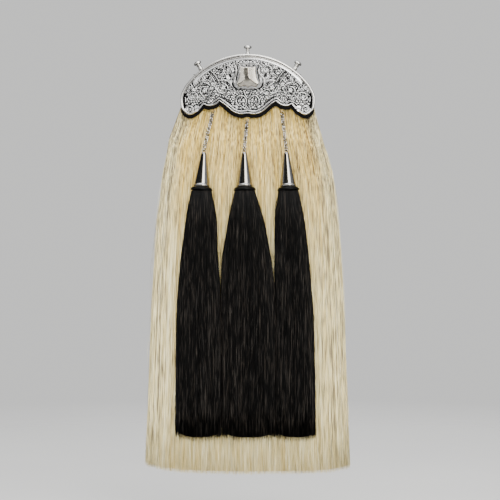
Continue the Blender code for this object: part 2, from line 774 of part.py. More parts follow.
def make_knobs():
    """Three turned knobs that stand on the rim."""
    foot, stem, cap, tall = KNOB_FOOT_RADIUS, KNOB_STEM_RADIUS, KNOB_CAP_RADIUS, KNOB_HEIGHT
    profile = (
        (0.0, 0.0), (0.9 * foot, 0.0), (foot, 0.09 * tall), (0.8 * foot, 0.17 * tall), (stem, 0.21 * tall),
        (stem, 0.54 * tall), (0.5 * cap, 0.61 * tall), (0.96 * cap, 0.66 * tall), (cap, 0.75 * tall),
        (0.8 * cap, 0.92 * tall), (0.0, tall),
    )
    tip = foot * math.sin(KNOB_ANGLE - KNOB_LEAN)
    for name, side in (("left", -1), ("centre", 0), ("right", 1)):
        knob = add_object(f"knob_{name}", *lathe(profile, 12), "polished_silver")
        angle = side * KNOB_ANGLE
        seat = CROWN_RADIUS + RIM_PROUD + SEAT + abs(side) * tip
        depth = (PLATE_FRONT_Y + SKIRT_REAR_Y) / 2 - dome(CROWN_RADIUS * math.sin(angle)) / 2
        knob.location = (seat * math.sin(angle), depth, CROWN_CENTRE + seat * math.cos(angle))
        knob.rotation_euler = (0, side * KNOB_LEAN, 0)


def pouch_outline(inset):
    """The pouch from behind: an arched top, near straight sides and a round bottom."""
    side = POUCH_HALF_WIDTH - inset
    foot = POUCH_FOOT_HALF_WIDTH - inset
    arch_inset = POUCH_TOP_INSET + inset
    reach = math.asin(side / (CROWN_RADIUS - arch_inset))
    right = [((CROWN_RADIUS - arch_inset) * math.sin(a),
              CROWN_CENTRE + (CROWN_RADIUS - arch_inset) * math.cos(a))
             for a in np.linspace(0, reach, ARCH_POINTS)]
    corner = POUCH_CORNER - inset
    bottom = POUCH_BOTTOM + inset
    right.extend((foot - corner + corner * math.cos(a), bottom + corner - corner * math.sin(a))
                 for a in np.linspace(0, math.pi / 2, CORNER_POINTS))
    return right + [(-x, z) for x, z in reversed(right[1:])]


def slab(outline, y_front, y_rear):
    """A flat piece cut to an outline of (x, z) points."""
    return loft([[(x, y, z) for x, z in outline] for y in (y_front, y_rear)])


def make_pouch():
    """The leather pouch: front panel to the crown, and a pocket open at its top."""
    pouch = add_object("pouch", *slab(pouch_outline(0.0), POUCH_FRONT_Y, BACK_Y), "black_leather")
    inside = slab(pouch_outline(LEATHER_WALL), POUCH_FRONT_Y + LEATHER_WALL, BACK_Y - LEATHER_WALL)
    hollow = add_helper("pouch_hollow", *inside, "black_leather")
    combine(pouch, hollow, "DIFFERENCE")
    reach = 1.2 * POUCH_HALF_WIDTH
    over = 2 * CANTLE_TOP
    corners = [(-reach, MOUTH_HEIGHT), (reach, MOUTH_HEIGHT), (reach, over), (-reach, over)]
    above = slab(corners, POUCH_FRONT_Y + LEATHER_WALL, -BACK_Y)
    mouth = add_helper("pouch_mouth", *above, "black_leather")
    combine(pouch, mouth, "DIFFERENCE")
    return pouch


def make_strap_loops():
    """Two leather keepers on the pouch's back, which the sporran strap runs through."""
    for name, x in (("left", -LOOP_SPACING / 2), ("right", LOOP_SPACING / 2)):
        foot_y, half = BACK_Y + SEAT, STRAP_HEIGHT / 2
        out_y = STRAP_GAP / 2
        ease = LOOP_EASE * LOOP_THICKNESS
        outer = [(foot_y, -half - LOOP_FOOT - LOOP_THICKNESS), (foot_y + LOOP_THICKNESS, -half - LOOP_FOOT),
                 (foot_y + LOOP_THICKNESS, -half - ease), (out_y + LOOP_THICKNESS - ease, -half - ease),
                 (out_y + LOOP_THICKNESS, -half)]
        inner = [(foot_y, -half), (out_y, -half)]
        outline = outer + [(y, -z) for y, z in reversed(outer)] + [(y, -z) for y, z in inner]
        outline += [(y, z) for y, z in reversed(inner)]
        rings = [[(x + side * LOOP_WIDTH / 2, y, z) for y, z in outline] for side in (-1, 1)]
        points = [Vector(p) for ring in rings for p in ring]
        count = len(outline)
        faces = [(j, (j + 1) % count, (j + 1) % count + count, j + count) for j in range(count)]
        faces += [tuple(reversed(range(count))), tuple(range(count, 2 * count))]
        add_object(f"strap_loop_{name}", *outwards(points, faces), "black_leather")


def tassel_feet():
    """The x of each tassel's middle at its foot: the three lie side by side."""
    left, centre, right = (t.foot_half * HAIR_HALF_WIDTH for t in TASSELS)
    middle = CENTRE_FOOT * HAIR_HALF_WIDTH
    return {
        "left": middle - centre - TASSEL_GAP - left,
        "centre": middle,
        "right": middle + centre + TASSEL_GAP + right,
    }


def cone_frame(tassel):
    """The matrix that stands a tassel's cone on its collar, which rests on the white hair."""
    collar_x, collar_z = tassel.collar * HAIR_HALF_WIDTH, CONE_TOP - NECK_DROP
    resting = hair_front(collar_x, collar_z) - COLLAR_RADIUS - 4 * SEAT
    foot = Vector((collar_x, resting, collar_z))
    top = Vector((tassel.cone * HAIR_HALF_WIDTH, resting + CONE_LEAN, CONE_TOP))
    turn = Vector((0, 0, 1)).rotation_difference(top - foot).to_matrix().to_4x4()
    return Matrix.Translation(top) @ turn


def make_cone(tassel):
    """A hollow silver cone with a rolled lip, and an eye on top for the chain."""
    frame = cone_frame(tassel)
    length = CONE_LENGTH
    profile = (
        (0.0, 0.0), (CONE_TOP_RADIUS - CONE_SHOULDER, 0.0), (CONE_TOP_RADIUS, -CONE_SHOULDER),
        (CONE_FOOT_RADIUS, -length + CONE_LIP_HEIGHT), (CONE_LIP_RADIUS, -length + CONE_LIP_HEIGHT / 3),
        (CONE_LIP_RADIUS, -length), (CONE_FOOT_RADIUS - CONE_WALL, -length),
        (CONE_TOP_RADIUS - CONE_WALL, -2 * CONE_WALL), (0.0, -2 * CONE_WALL),
    )
    cone = add_object(f"tassel_cone_{tassel.side}", *lathe(profile, 14), "polished_silver")
    cone.matrix_world = frame
    eye_middle = EYE_RADIUS - EYE_SINK
    loop = [(EYE_RADIUS * math.sin(a), 0.0, eye_middle + EYE_RADIUS * math.cos(a))
            for a in np.linspace(0, 2 * math.pi, 11)[:-1]]
    eye = add_helper(f"tassel_eye_{tassel.side}",
                     *tube(loop, EYE_WIRE / 2, 5, closed=True, inner=(0, 0, eye_middle)), "polished_silver")
    eye.matrix_world = frame
    combine(cone, eye, "UNION")
    return frame @ Vector((0, 0, eye_middle + EYE_RADIUS))


def make_collar(tassel):
    """The black leather collar that the tassel's hair hangs from."""
    frame = cone_frame(tassel)
    start = -CONE_LENGTH - SEAT
    profile = (
        (0.0, start), (0.70 * COLLAR_RADIUS, start), (0.92 * COLLAR_RADIUS, start - 0.22 * COLLAR_HEIGHT),
        (COLLAR_RADIUS, start - 0.55 * COLLAR_HEIGHT), (0.97 * COLLAR_RADIUS, start - COLLAR_HEIGHT),
        (0.0, start - COLLAR_HEIGHT),
    )
    collar = add_object(f"tassel_collar_{tassel.side}", *lathe(profile, 14), "black_leather")
    collar.matrix_world = frame


def tassel_ring(tassel, drop, part_depth, ragged=0.0):
    """One section of a tassel: a flattened round, parted into locks."""
    frame = cone_frame(tassel)
    neck = frame @ Vector((0, 0, -NECK_DROP))
    foot_x = tassel_feet()[tassel.side]
    spread = smooth_lookup(TASSEL_SECTIONS, drop, "spread")
    narrow = NECK_SHARE * COLLAR_RADIUS
    half = narrow + spread * (tassel.foot_half * HAIR_HALF_WIDTH - narrow)
    depth = narrow + spread * (TASSEL_HALF_DEPTH - narrow)
    x = neck.x + (foot_x - neck.x) * min(drop / SWING_DROP, 1.0) ** SWING_POWER
    z = neck.z + (TASSEL_FOOT - neck.z) * drop
    resting = hair_front(x, z) - depth - 2 * SEAT
    y = neck.y + (resting - neck.y) * min(drop / SETTLE_DROP, 1.0)
    ring = []
    facets = TASSEL_LOCKS * FACETS_PER_LOCK
    for i in range(facets):
        turn = 2 * math.pi * i / facets
        valley = i % FACETS_PER_LOCK == 0
        inward = 1 - valley * part_depth / depth
        round_x = math.copysign(abs(math.cos(turn)) ** TASSEL_POWER, math.cos(turn)) * inward
        round_y = math.copysign(abs(math.sin(turn)) ** TASSEL_POWER, math.sin(turn)) * inward
        tip = ragged * (-VALLEY_LIFT if valley else scatter(i // FACETS_PER_LOCK + 7))
        if drop:
            ring.append((x + half * round_x, y + depth * round_y, z - tip))
        else:
            ring.append(frame @ Vector((half * round_x, depth * round_y, -NECK_DROP)))
    return ring


def make_tassel_hair(tassel):
    """The black horsehair of one tassel, in locks that lie on the white hair."""
    rings = [tassel_ring(tassel, drop, TASSEL_LOCK_DEPTH * min(drop / SETTLE_DROP, 1))
             for drop in TASSEL_RING_DROPS]
    rings.append(tassel_ring(tassel, 1.0, FOOT_PARTING * TASSEL_LOCK_DEPTH, ragged=TASSEL_RAGGED))
    return add_object(f"tassel_hair_{tassel.side}", *loft(rings, uneven_ends=True), "black_horsehair")


def staple_bar(tassel):
    """The middle of the staple's bar, behind the leather's lower edge."""
    x = tassel.anchor * CANTLE_HALF
    z = lower_edge(x) - STAPLE_DROP
    return Vector((x, BACKING_REAR_Y - dome(x) + STAPLE_REACH, z))


def make_staple(tassel):
    """A wire staple in the leather's back, which the chain's top link hangs on."""
    bar, half = staple_bar(tassel), STAPLE_WIDTH / 2
    tip_y = BACKING_REAR_Y - dome(abs(bar.x) + half) + SEAT
    path = [(bar.x - half, tip_y, bar.z), (bar.x - half, bar.y, bar.z),
            (bar.x + half, bar.y, bar.z), (bar.x + half, tip_y, bar.z)]
    add_object(f"chain_staple_{tassel.side}", *tube(path, STAPLE_WIRE / 2, 6), "chain_steel")


def chain_path(tassel, eye):
    """Points from the staple to the cone's eye: down behind the leather, then before the hair."""
    bar = staple_bar(tassel)
    clear = LINK_WIDTH / 2 + 2 * SEAT
    way_out = lower_edge(bar.x) - BACKING_SHOW - clear / 2
    path, free = [bar], []
    for t in np.linspace(0, 1, CHAIN_STEPS)[1:]:
        point = bar.lerp(eye, float(t))
        if point.z > way_out:
            point.y = bar.y
        else:
            point.y = bar.y + (eye.y - bar.y) * (way_out - point.z) / (way_out - eye.z)
            point.y = min(point.y, hair_front(point.x, point.z) - clear) if t < 1 else point.y
            free.append(point)
        path.append(point)
    for _ in range(CHAIN_PASSES):
        for a, point, b in zip(free, free[1:], free[2:]):
            point.y = min(point.y, (a.y + b.y) / 2)
    return path


def point_at(path, length):
    """The point a given length along a path."""
    for a, b in zip(path, path[1:]):
        step = (b - a).length
        if length <= step or b is path[-1]:
            return a + (b - a) * (length / step)
        length -= step


def link_mesh(centre, along, turn, half_length):
    """One oval link of round wire, with its long axis along the chain."""
    across = along.cross(Vector((0, 1, 0))).normalized()
    across = Matrix.Rotation(turn, 3, along) @ across
    radius = (LINK_WIDTH - LINK_WIRE) / 2
    straight = half_length - LINK_WIRE / 2 - radius
    loop = []
    for end in (1, -1):
        for a in np.linspace(-90, 90, 5):
            angle = math.radians(a)
            loop.append(centre + along * end * (straight + radius * math.cos(angle))
                        + across * end * radius * math.sin(angle))
    return tube(loop, LINK_WIRE / 2, 5, closed=True, inner=centre)


def make_chain(tassel, eye):
    """Interlocked links, each fused to the next where they bear."""
    path = chain_path(tassel, eye)
    length = sum((b - a).length for a, b in zip(path, path[1:]))
    slack = (EYE_WIRE + STAPLE_WIRE) / 2 + 2 * SEAT + LINK_FUSE
    count = 2 * round((length / LINK_PITCH - 1) / 2) + 1
    pitch = (length + slack) / count
    half_link = pitch / 2 + LINK_WIRE - LINK_FUSE / 2
    start = half_link - LINK_WIRE / 2 - (STAPLE_WIRE + LINK_WIRE) / 2 - SEAT
    links = []
    for i in range(count):
        middle = start + i * pitch
        before, after = point_at(path, max(middle - pitch / 2, 0)), point_at(path, middle + pitch / 2)
        along = (before - after).normalized()
        turn = math.radians(90) * (1 - i % 2)
        links.append(link_mesh(point_at(path, middle), along, turn, half_link))
    chain = add_object(f"chain_{tassel.side}", *joined(links[0::2]), "chain_steel")
    others = add_helper(f"chain_{tassel.side}_others", *joined(links[1::2]), "chain_steel")
    combine(chain, others, "UNION")


def main():
    clear_scene()
    make_pouch()
    make_strap_loops()
    make_hair_fall()
    make_backing()
    make_cantle()
    make_badge()
    make_knobs()
    for tassel in TASSELS:
        eye = make_cone(tassel)
        make_collar(tassel)
        make_tassel_hair(tassel)
        make_staple(tassel)
        make_chain(tassel, eye)


main()
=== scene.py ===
import bmesh
import bpy
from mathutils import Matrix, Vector
import numpy as np


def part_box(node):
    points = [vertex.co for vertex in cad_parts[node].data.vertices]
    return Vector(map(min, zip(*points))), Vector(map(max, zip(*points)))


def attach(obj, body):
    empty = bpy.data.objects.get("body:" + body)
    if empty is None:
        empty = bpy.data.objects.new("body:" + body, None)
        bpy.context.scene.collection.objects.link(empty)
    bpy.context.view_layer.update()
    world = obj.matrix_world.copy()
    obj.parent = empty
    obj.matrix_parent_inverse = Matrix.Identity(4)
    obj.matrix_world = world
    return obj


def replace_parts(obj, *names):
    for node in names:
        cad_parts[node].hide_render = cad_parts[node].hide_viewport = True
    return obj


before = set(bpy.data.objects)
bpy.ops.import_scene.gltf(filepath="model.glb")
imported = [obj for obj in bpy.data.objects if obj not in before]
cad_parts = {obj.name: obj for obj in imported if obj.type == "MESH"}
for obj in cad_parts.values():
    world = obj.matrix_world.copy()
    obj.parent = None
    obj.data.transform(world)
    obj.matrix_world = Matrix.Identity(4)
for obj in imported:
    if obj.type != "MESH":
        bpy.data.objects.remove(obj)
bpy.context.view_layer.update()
print("frame loaded:", len(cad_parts), "nodes")

photo = {"pixel": 0.001111, "midY": 85.0}         # metres in a pixel, and the image row at z 0


# Pixels right of the middle line and down the image, as x and z in metres.
def fromPhoto(points):
    points = np.asarray(points, float)
    return np.stack([points[..., 0] * photo["pixel"], (photo["midY"] - points[..., 1]) * photo["pixel"]], -1)


# Meshes from whole arrays

# All of a frame node's points as one array.
def nodePoints(name):
    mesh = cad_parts[name].data
    flat = np.empty(len(mesh.vertices) * 3)
    mesh.vertices.foreach_get("co", flat)
    return flat.reshape(-1, 3)


# One mesh from an array of points and arrays of quads and triangles, on the frame's only body.
def meshObject(name, points, quads, material, triangles=None, smooth=True, values=None):
    points = np.asarray(points, np.float32).reshape(-1, 3)
    quads = np.asarray(quads, np.int32).reshape(-1, 4)
    triangles = np.zeros((0, 3)) if triangles is None else triangles
    triangles = np.asarray(triangles, np.int32).reshape(-1, 3)
    mesh = bpy.data.meshes.new(name)
    mesh.vertices.add(len(points))
    mesh.vertices.foreach_set("co", points.ravel())
    mesh.loops.add(quads.size + triangles.size)
    mesh.loops.foreach_set("vertex_index", np.concatenate([quads.ravel(), triangles.ravel()]))
    sizes = np.concatenate([np.full(len(quads), 4), np.full(len(triangles), 3)]).astype(np.int32)
    mesh.polygons.add(len(sizes))
    mesh.polygons.foreach_set("loop_start", np.concatenate([[0], np.cumsum(sizes)[:-1]]).astype(np.int32))
    mesh.polygons.foreach_set("use_smooth", np.full(len(sizes), smooth))
    mesh.update(calc_edges=True)
    mesh.validate()
    for key, value in (values or {}).items():
        kept = mesh.attributes.new(key, "FLOAT", "POINT")
        kept.data.foreach_set("value", np.asarray(value, np.float32).ravel())
    mesh.materials.append(material)
    piece = bpy.data.objects.new(name, mesh)
    bpy.context.scene.collection.objects.link(piece)
    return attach(piece, "root")


# Quads between the rows and columns of a grid of points.
def gridFaces(rows, columns, wrapRows=False, wrapColumns=False, start=0):
    r = np.arange(rows if wrapRows else rows - 1)
    c = np.arange(columns if wrapColumns else columns - 1)
    r, c = np.meshgrid(r, c, indexing="ij")
    below, right = (r + 1) % rows, (c + 1) % columns
    quads = [r * columns + c, below * columns + c, below * columns + right, r * columns + right]
    quads = np.stack(quads, -1)
    return quads.reshape(-1, 4) + start


# Rings of points as one closed surface: each end is a fan to its middle, unless the rings close up.
def skin(rings, closed=False):
    count, around = rings.shape[:2]
    points = rings.reshape(-1, 3)
    quads = gridFaces(count, around, wrapRows=closed, wrapColumns=True)
    if closed:
        return points, quads, np.zeros((0, 3), int)
    points = np.concatenate([points, rings[:1].mean(1), rings[-1:].mean(1)])
    a = np.arange(around)
    b = (a + 1) % around
    first = np.stack([a, b, np.full(around, count * around)], -1)
    final = (count - 1) * around
    last = np.stack([b + final, a + final, np.full(around, count * around + 1)], -1)
    return points, quads, np.concatenate([first, last])


# The same faces, turned over if together they hold a negative volume.
def outward(points, quads, triangles):
    def volume(faces):
        corners = points[faces]
        total = 0.0
        for i in range(1, faces.shape[1] - 1):
            total += np.einsum("ij,ij->", corners[:, 0], np.cross(corners[:, i], corners[:, i + 1]))
        return total
    if volume(quads) + (volume(triangles) if len(triangles) else 0.0) < 0:
        quads, triangles = quads[:, ::-1], triangles[:, ::-1]
    return points, quads, triangles


# Several (points, quads, triangles) as one.
def gather(parts):
    start, points, quads, triangles = 0, [], [], []
    for p, q, t in parts:
        points.append(p)
        quads.append(q + start)
        triangles.append(t + start)
        start += len(p)
    return np.concatenate(points), np.concatenate(quads), np.concatenate(triangles)


# A profile of (radius, drop) rows turned about an axis that goes down from top.
def turned(profile, sides, top, axis):
    profile = np.asarray(profile, float)
    axis = np.asarray(axis, float) / np.linalg.norm(axis)
    across = np.cross(axis, [0.0, 1.0, 0.0])
    across /= np.linalg.norm(across)
    third = np.cross(axis, across)
    angle = 2 * np.pi * np.arange(sides) / sides
    outwardRing = np.cos(angle)[:, None] * across + np.sin(angle)[:, None] * third
    rings = np.asarray(top) + profile[:, None, :1] * outwardRing + profile[:, None, 1:] * axis
    return outward(*skin(rings))


# A smooth curve through knots: cubic pieces whose slope at a knot is that between its neighbours.
def catmull(knots, steps):
    knots = np.asarray(knots, float)
    ends = np.concatenate([[2 * knots[0] - knots[1]], knots, [2 * knots[-1] - knots[-2]]])
    a, b, c, d = ends[:-3, None], ends[1:-2, None], ends[2:-1, None], ends[3:, None]
    t = (np.arange(steps) / steps)[None, :, None]
    curve = 0.5 * (2 * b + (c - a) * t + (2 * a - 5 * b + 4 * c - d) * t ** 2
                   + (3 * b - a - 3 * c + d) * t ** 3)
    return np.concatenate([curve.reshape(-1, knots.shape[1]), knots[-1:]])


# A path's points spaced evenly along its length.
def along(path, count):
    path = np.asarray(path, float)
    steps = np.linalg.norm(np.diff(path, axis=0), axis=1)
    reach = np.concatenate([[0], np.cumsum(steps)])
    at = np.linspace(0, reach[-1], count)
    return np.stack([np.interp(at, reach, path[:, i]) for i in range(path.shape[1])], -1)


# A round wire along a path in space. Its section turns as little as it can.
def wire(path, radius, sides, closed=False):
    path = np.asarray(path, float)
    if closed:
        tangent = np.roll(path, -1, 0) - np.roll(path, 1, 0)
    else:
        tangent = np.gradient(path, axis=0)
    tangent /= np.linalg.norm(tangent, axis=1)[:, None]
    middle = path.mean(0)
    flat = np.linalg.svd(path - middle)[2][-1]
    side = np.cross(tangent, flat)
    side /= np.linalg.norm(side, axis=1)[:, None]
    up = np.cross(side, tangent)
    angle = 2 * np.pi * np.arange(sides) / sides
    radius = np.broadcast_to(np.asarray(radius, float), (len(path),))[:, None, None]
    rings = path[:, None] + radius * (np.cos(angle)[None, :, None] * side[:, None]
                                      + np.sin(angle)[None, :, None] * up[:, None])
    return outward(*skin(rings, closed=closed))


# How far each point (x, z) is from a path of short straight steps.
def distanceTo(path, x, z):
    path = np.asarray(path, float)
    best = np.full(np.shape(x), 1e9)
    for (ax, az), (bx, bz) in zip(path[:-1], path[1:]):
        ex, ez = bx - ax, bz - az
        t = np.clip(((x - ax) * ex + (z - az) * ez) / max(ex * ex + ez * ez, 1e-14), 0, 1)
        best = np.minimum(best, (x - ax - t * ex) ** 2 + (z - az - t * ez) ** 2)
    return np.sqrt(best)


# How far each point (x, z) is from a smooth stroke given in pixels.
def distanceToStroke(points, x, z):
    return distanceTo(catmull(fromPhoto(points), 6), x, z)


# 0 below low, 1 above high, smooth between.
def ease(value, low, high):
    t = np.clip((value - low) / (high - low), 0, 1)
    return t * t * (3 - 2 * t)


# A table at any place: cubic pieces through its rows, with the slopes of their neighbours.
def lookUp(at, xs, ys):
    xs, ys = np.asarray(xs, float), np.asarray(ys, float)
    low, high = np.maximum(np.arange(len(xs)) - 1, 0), np.minimum(np.arange(len(xs)) + 1, len(xs) - 1)
    slope = (ys[high] - ys[low]) / (xs[high] - xs[low])
    at = np.clip(at, xs[0], xs[-1])
    i = np.clip(np.searchsorted(xs, at, side="right") - 1, 0, len(xs) - 2)
    span = xs[i + 1] - xs[i]
    t = (at - xs[i]) / span
    return (ys[i] * (1 + 2 * t) * (1 - t) ** 2 + ys[i + 1] * t * t * (3 - 2 * t)
            + slope[i] * span * t * (1 - t) ** 2 - slope[i + 1] * span * t * t * (1 - t))


# Node helpers

# A shader node with its settings and inputs. An input is a value or another node's output.
def addNode(tree, kind, settings=None, **inputs):
    node = tree.nodes.new(kind)
    for key, value in (settings or {}).items():
        setattr(node, key, value)
    for key, value in inputs.items():
        socket = node.inputs[int(key[1:])] if key[0] == "i" and key[1:].isdigit() else node.inputs[key]
        if isinstance(value, bpy.types.NodeSocket):
            tree.links.new(value, socket)
        else:
            socket.default_value = value
    return node


# A colour ramp. Each stop is a place and a grey value or a colour.
def ramp(tree, factor, stops):
    node = tree.nodes.new("ShaderNodeValToRGB")
    tree.links.new(factor, node.inputs["Fac"])
    bands = node.color_ramp.elements
    while len(bands) < len(stops):
        bands.new(0.5)
    for band, (place, colour) in zip(bands, stops):
        band.position = place
        band.color = (*((colour,) * 3 if isinstance(colour, (int, float)) else colour), 1.0)
    return node.outputs["Color"]


# A new material: itself, its node tree and its main shader.
def newMaterial(name):
    made = bpy.data.materials.new(name)
    made.use_nodes = True
    return made, made.node_tree, made.node_tree.nodes["Principled BSDF"]


# A node group with named sockets: (name, kind, default) in, (name, kind) out.
def newGroup(name, inputs, outputs):
    group = bpy.data.node_groups.new(name, "ShaderNodeTree")
    for label, kind, default in inputs:
        socket = group.interface.new_socket(label, in_out="INPUT", socket_type=kind)
        if default is not None:
            socket.default_value = default
    for label, kind in outputs:
        group.interface.new_socket(label, in_out="OUTPUT", socket_type=kind)
    return group, group.nodes.new("NodeGroupInput"), group.nodes.new("NodeGroupOutput")


# A node that runs a node group, with its inputs set or linked.
def useGroup(tree, group, **inputs):
    return addNode(tree, "ShaderNodeGroup", {"node_tree": group}, **inputs)


# Fine pebble grain: cells of Size per metre with soft noise over them.
def grainGroup():
    group, start, end = newGroup("pebbleGrain", [
        ("Vector", "NodeSocketVector", None), ("Size", "NodeSocketFloat", 900.0),
        ("Softness", "NodeSocketFloat", 0.5)], [("Height", "NodeSocketFloat"), ("Mask", "NodeSocketFloat")])
    cells = addNode(group, "ShaderNodeTexVoronoi", {"feature": "DISTANCE_TO_EDGE"},
                    Vector=start.outputs["Vector"], Scale=start.outputs["Size"])
    cloud = addNode(group, "ShaderNodeTexNoise", Vector=start.outputs["Vector"],
                    Scale=start.outputs["Size"], Detail=3.0)
    low = addNode(group, "ShaderNodeMath", {"operation": "MULTIPLY", "use_clamp": True},
                  i0=cells.outputs["Distance"], i1=4.0)
    mixed = addNode(group, "ShaderNodeMix", i0=start.outputs["Softness"], i2=low.outputs[0],
                    i3=cloud.outputs["Fac"])
    group.links.new(mixed.outputs[0], end.inputs["Height"])
    group.links.new(cloud.outputs["Fac"], end.inputs["Mask"])
    return group


# Oxide that stays in hollows and rubs off raised edges, and painted shade that darkens the hollows. Relief
# is 0 in a hollow and 1 on top.
def tarnishAndShadeGroup():
    group, start, end = newGroup("hollowTarnishAndShade", [
        ("Relief", "NodeSocketFloat", 1.0), ("Vector", "NodeSocketVector", None),
        ("Patchiness", "NodeSocketFloat", 0.3)], [("CleanAndLit", "NodeSocketFloat")])
    cloud = addNode(group, "ShaderNodeTexNoise", Vector=start.outputs["Vector"], Scale=420.0, Detail=2.0)
    centred = addNode(group, "ShaderNodeMath", {"operation": "SUBTRACT"}, i0=cloud.outputs["Fac"], i1=0.5)
    patch = addNode(group, "ShaderNodeMath", {"operation": "MULTIPLY"}, i0=centred.outputs[0],
                    i1=start.outputs["Patchiness"])
    both = addNode(group, "ShaderNodeMath", {"operation": "ADD", "use_clamp": True},
                   i0=start.outputs["Relief"], i1=patch.outputs[0])
    group.links.new(both.outputs[0], end.inputs["CleanAndLit"])
    return group


# Streaks that run along hair: noise on a vector stretched down the hair, fine over coarse.
def streakGroup():
    group, start, end = newGroup("hairStreaks", [
        ("Vector", "NodeSocketVector", None), ("Fine", "NodeSocketFloat", 820.0),
        ("Coarse", "NodeSocketFloat", 300.0)], [("Streak", "NodeSocketFloat"), ("Lock", "NodeSocketFloat")])
    stretched = addNode(group, "ShaderNodeMapping", Vector=start.outputs["Vector"], Scale=(1.0, 1.0, 0.055))
    fine = addNode(group, "ShaderNodeTexNoise", Vector=stretched.outputs[0],
                   Scale=start.outputs["Fine"], Detail=1.0)
    coarse = addNode(group, "ShaderNodeTexNoise", Vector=stretched.outputs[0],
                     Scale=start.outputs["Coarse"], Detail=3.0)
    group.links.new(fine.outputs["Fac"], end.inputs["Streak"])
    group.links.new(coarse.outputs["Fac"], end.inputs["Lock"])
    return group


grain, tarnishAndShade, streaks = grainGroup(), tarnishAndShadeGroup(), streakGroup()


# Silver: bright on top, oxidised and painted dark in hollows (oxide and painted shade), with a fine worn
# bump.
def silverMaterial(name, tops, hollows, roughness, fromRelief):
    made, tree, shader = newMaterial(name)
    place = addNode(tree, "ShaderNodeTexCoord").outputs["Object"]
    if fromRelief:
        relief = addNode(tree, "ShaderNodeAttribute", {"attribute_name": "relief"}).outputs["Fac"]
        cleanAndLit = useGroup(tree, tarnishAndShade, Relief=relief, Vector=place, Patchiness=0.35).outputs["CleanAndLit"]
        # Painted shade with the oxide: the colour falls to near black with depth into the hollows.
        low, middle = [0.08 * c for c in tops], [0.46 * c for c in tops]
        colour = ramp(tree, cleanAndLit, [(0.0, hollows), (0.20, low), (0.40, middle), (0.62, tops), (1.0, tops)])
        rough = ramp(tree, cleanAndLit, [(0.0, 0.62), (0.5, roughness + 0.12), (1.0, roughness)])
    else:
        cloud = addNode(tree, "ShaderNodeTexNoise", Vector=place, Scale=160.0, Detail=4.0).outputs["Fac"]
        colour = ramp(tree, cloud, [(0.3, [0.93 * c for c in tops]), (0.7, tops)])
        rough = ramp(tree, cloud, [(0.3, roughness), (0.75, roughness + 0.09)])
    tree.links.new(colour, shader.inputs["Base Color"])
    tree.links.new(rough, shader.inputs["Roughness"])
    shader.inputs["Metallic"].default_value = 1.0
    fine = addNode(tree, "ShaderNodeTexNoise", Vector=place, Scale=1500.0, Detail=2.0).outputs["Fac"]
    depth = 0.10 if fromRelief else 0.03
    bump = addNode(tree, "ShaderNodeBump", Strength=depth, Distance=0.0002, Height=fine)
    tree.links.new(bump.outputs[0], shader.inputs["Normal"])
    return made


# Cone silver with painted reflection: neutral where it faces the viewer, greyer beside that and brown at the
# edges, standing in for the hair and room that the cone mirrors.
def coneReflectionMaterial(name):
    made, tree, shader = newMaterial(name)
    facing = addNode(tree, "ShaderNodeLayerWeight", Blend=0.5).outputs["Facing"]
    # Painted reflection: tints set by how squarely the surface faces the viewer.
    front, beside, edge = (0.44, 0.415, 0.36), (0.36, 0.355, 0.355), (0.13, 0.105, 0.07)
    colour = ramp(tree, facing, [(0.05, front), (0.12, beside), (0.42, beside), (0.66, edge)])
    tree.links.new(colour, shader.inputs["Base Color"])
    shader.inputs["Roughness"].default_value = 0.14
    shader.inputs["Metallic"].default_value = 1.0
    return made


# Chain steel: bright steel and near-black spots in turn, smaller than a link; the near-black spots are
# painted shade for the dark gaps between the links.
def chainShadeSpotMaterial(name):
    made, tree, shader = newMaterial(name)
    place = addNode(tree, "ShaderNodeTexCoord").outputs["Object"]
    spots = addNode(tree, "ShaderNodeTexNoise", Vector=place, Scale=620.0, Detail=1.0).outputs["Fac"]
    # Painted shade: the near-black spots.
    dark, bright = (0.010, 0.010, 0.009), (0.86, 0.84, 0.79)
    tree.links.new(ramp(tree, spots, [(0.44, dark), (0.56, bright)]), shader.inputs["Base Color"])
    shader.inputs["Roughness"].default_value = 0.16
    shader.inputs["Metallic"].default_value = 1.0
    return made


# Black leather: pebble grain, with a slightly greyer, smoother top to each pebble.
def leatherMaterial(name, colour, roughness, size, depth):
    made, tree, shader = newMaterial(name)
    place = addNode(tree, "ShaderNodeTexCoord").outputs["Object"]
    pebbles = useGroup(tree, grain, Vector=place, Size=size, Softness=0.35)
    tint = ramp(tree, pebbles.outputs["Mask"], [(0.3, colour), (0.75, [1.9 * c for c in colour])])
    rough = ramp(tree, pebbles.outputs["Height"], [(0.0, min(roughness + 0.22, 0.95)), (1.0, roughness)])
    bump = addNode(tree, "ShaderNodeBump", Strength=depth, Distance=0.0004, Height=pebbles.outputs["Height"])
    tree.links.new(tint, shader.inputs["Base Color"])
    tree.links.new(rough, shader.inputs["Roughness"])
    tree.links.new(bump.outputs[0], shader.inputs["Normal"])
    shader.inputs["Specular IOR Level"].default_value = 0.07
    return made


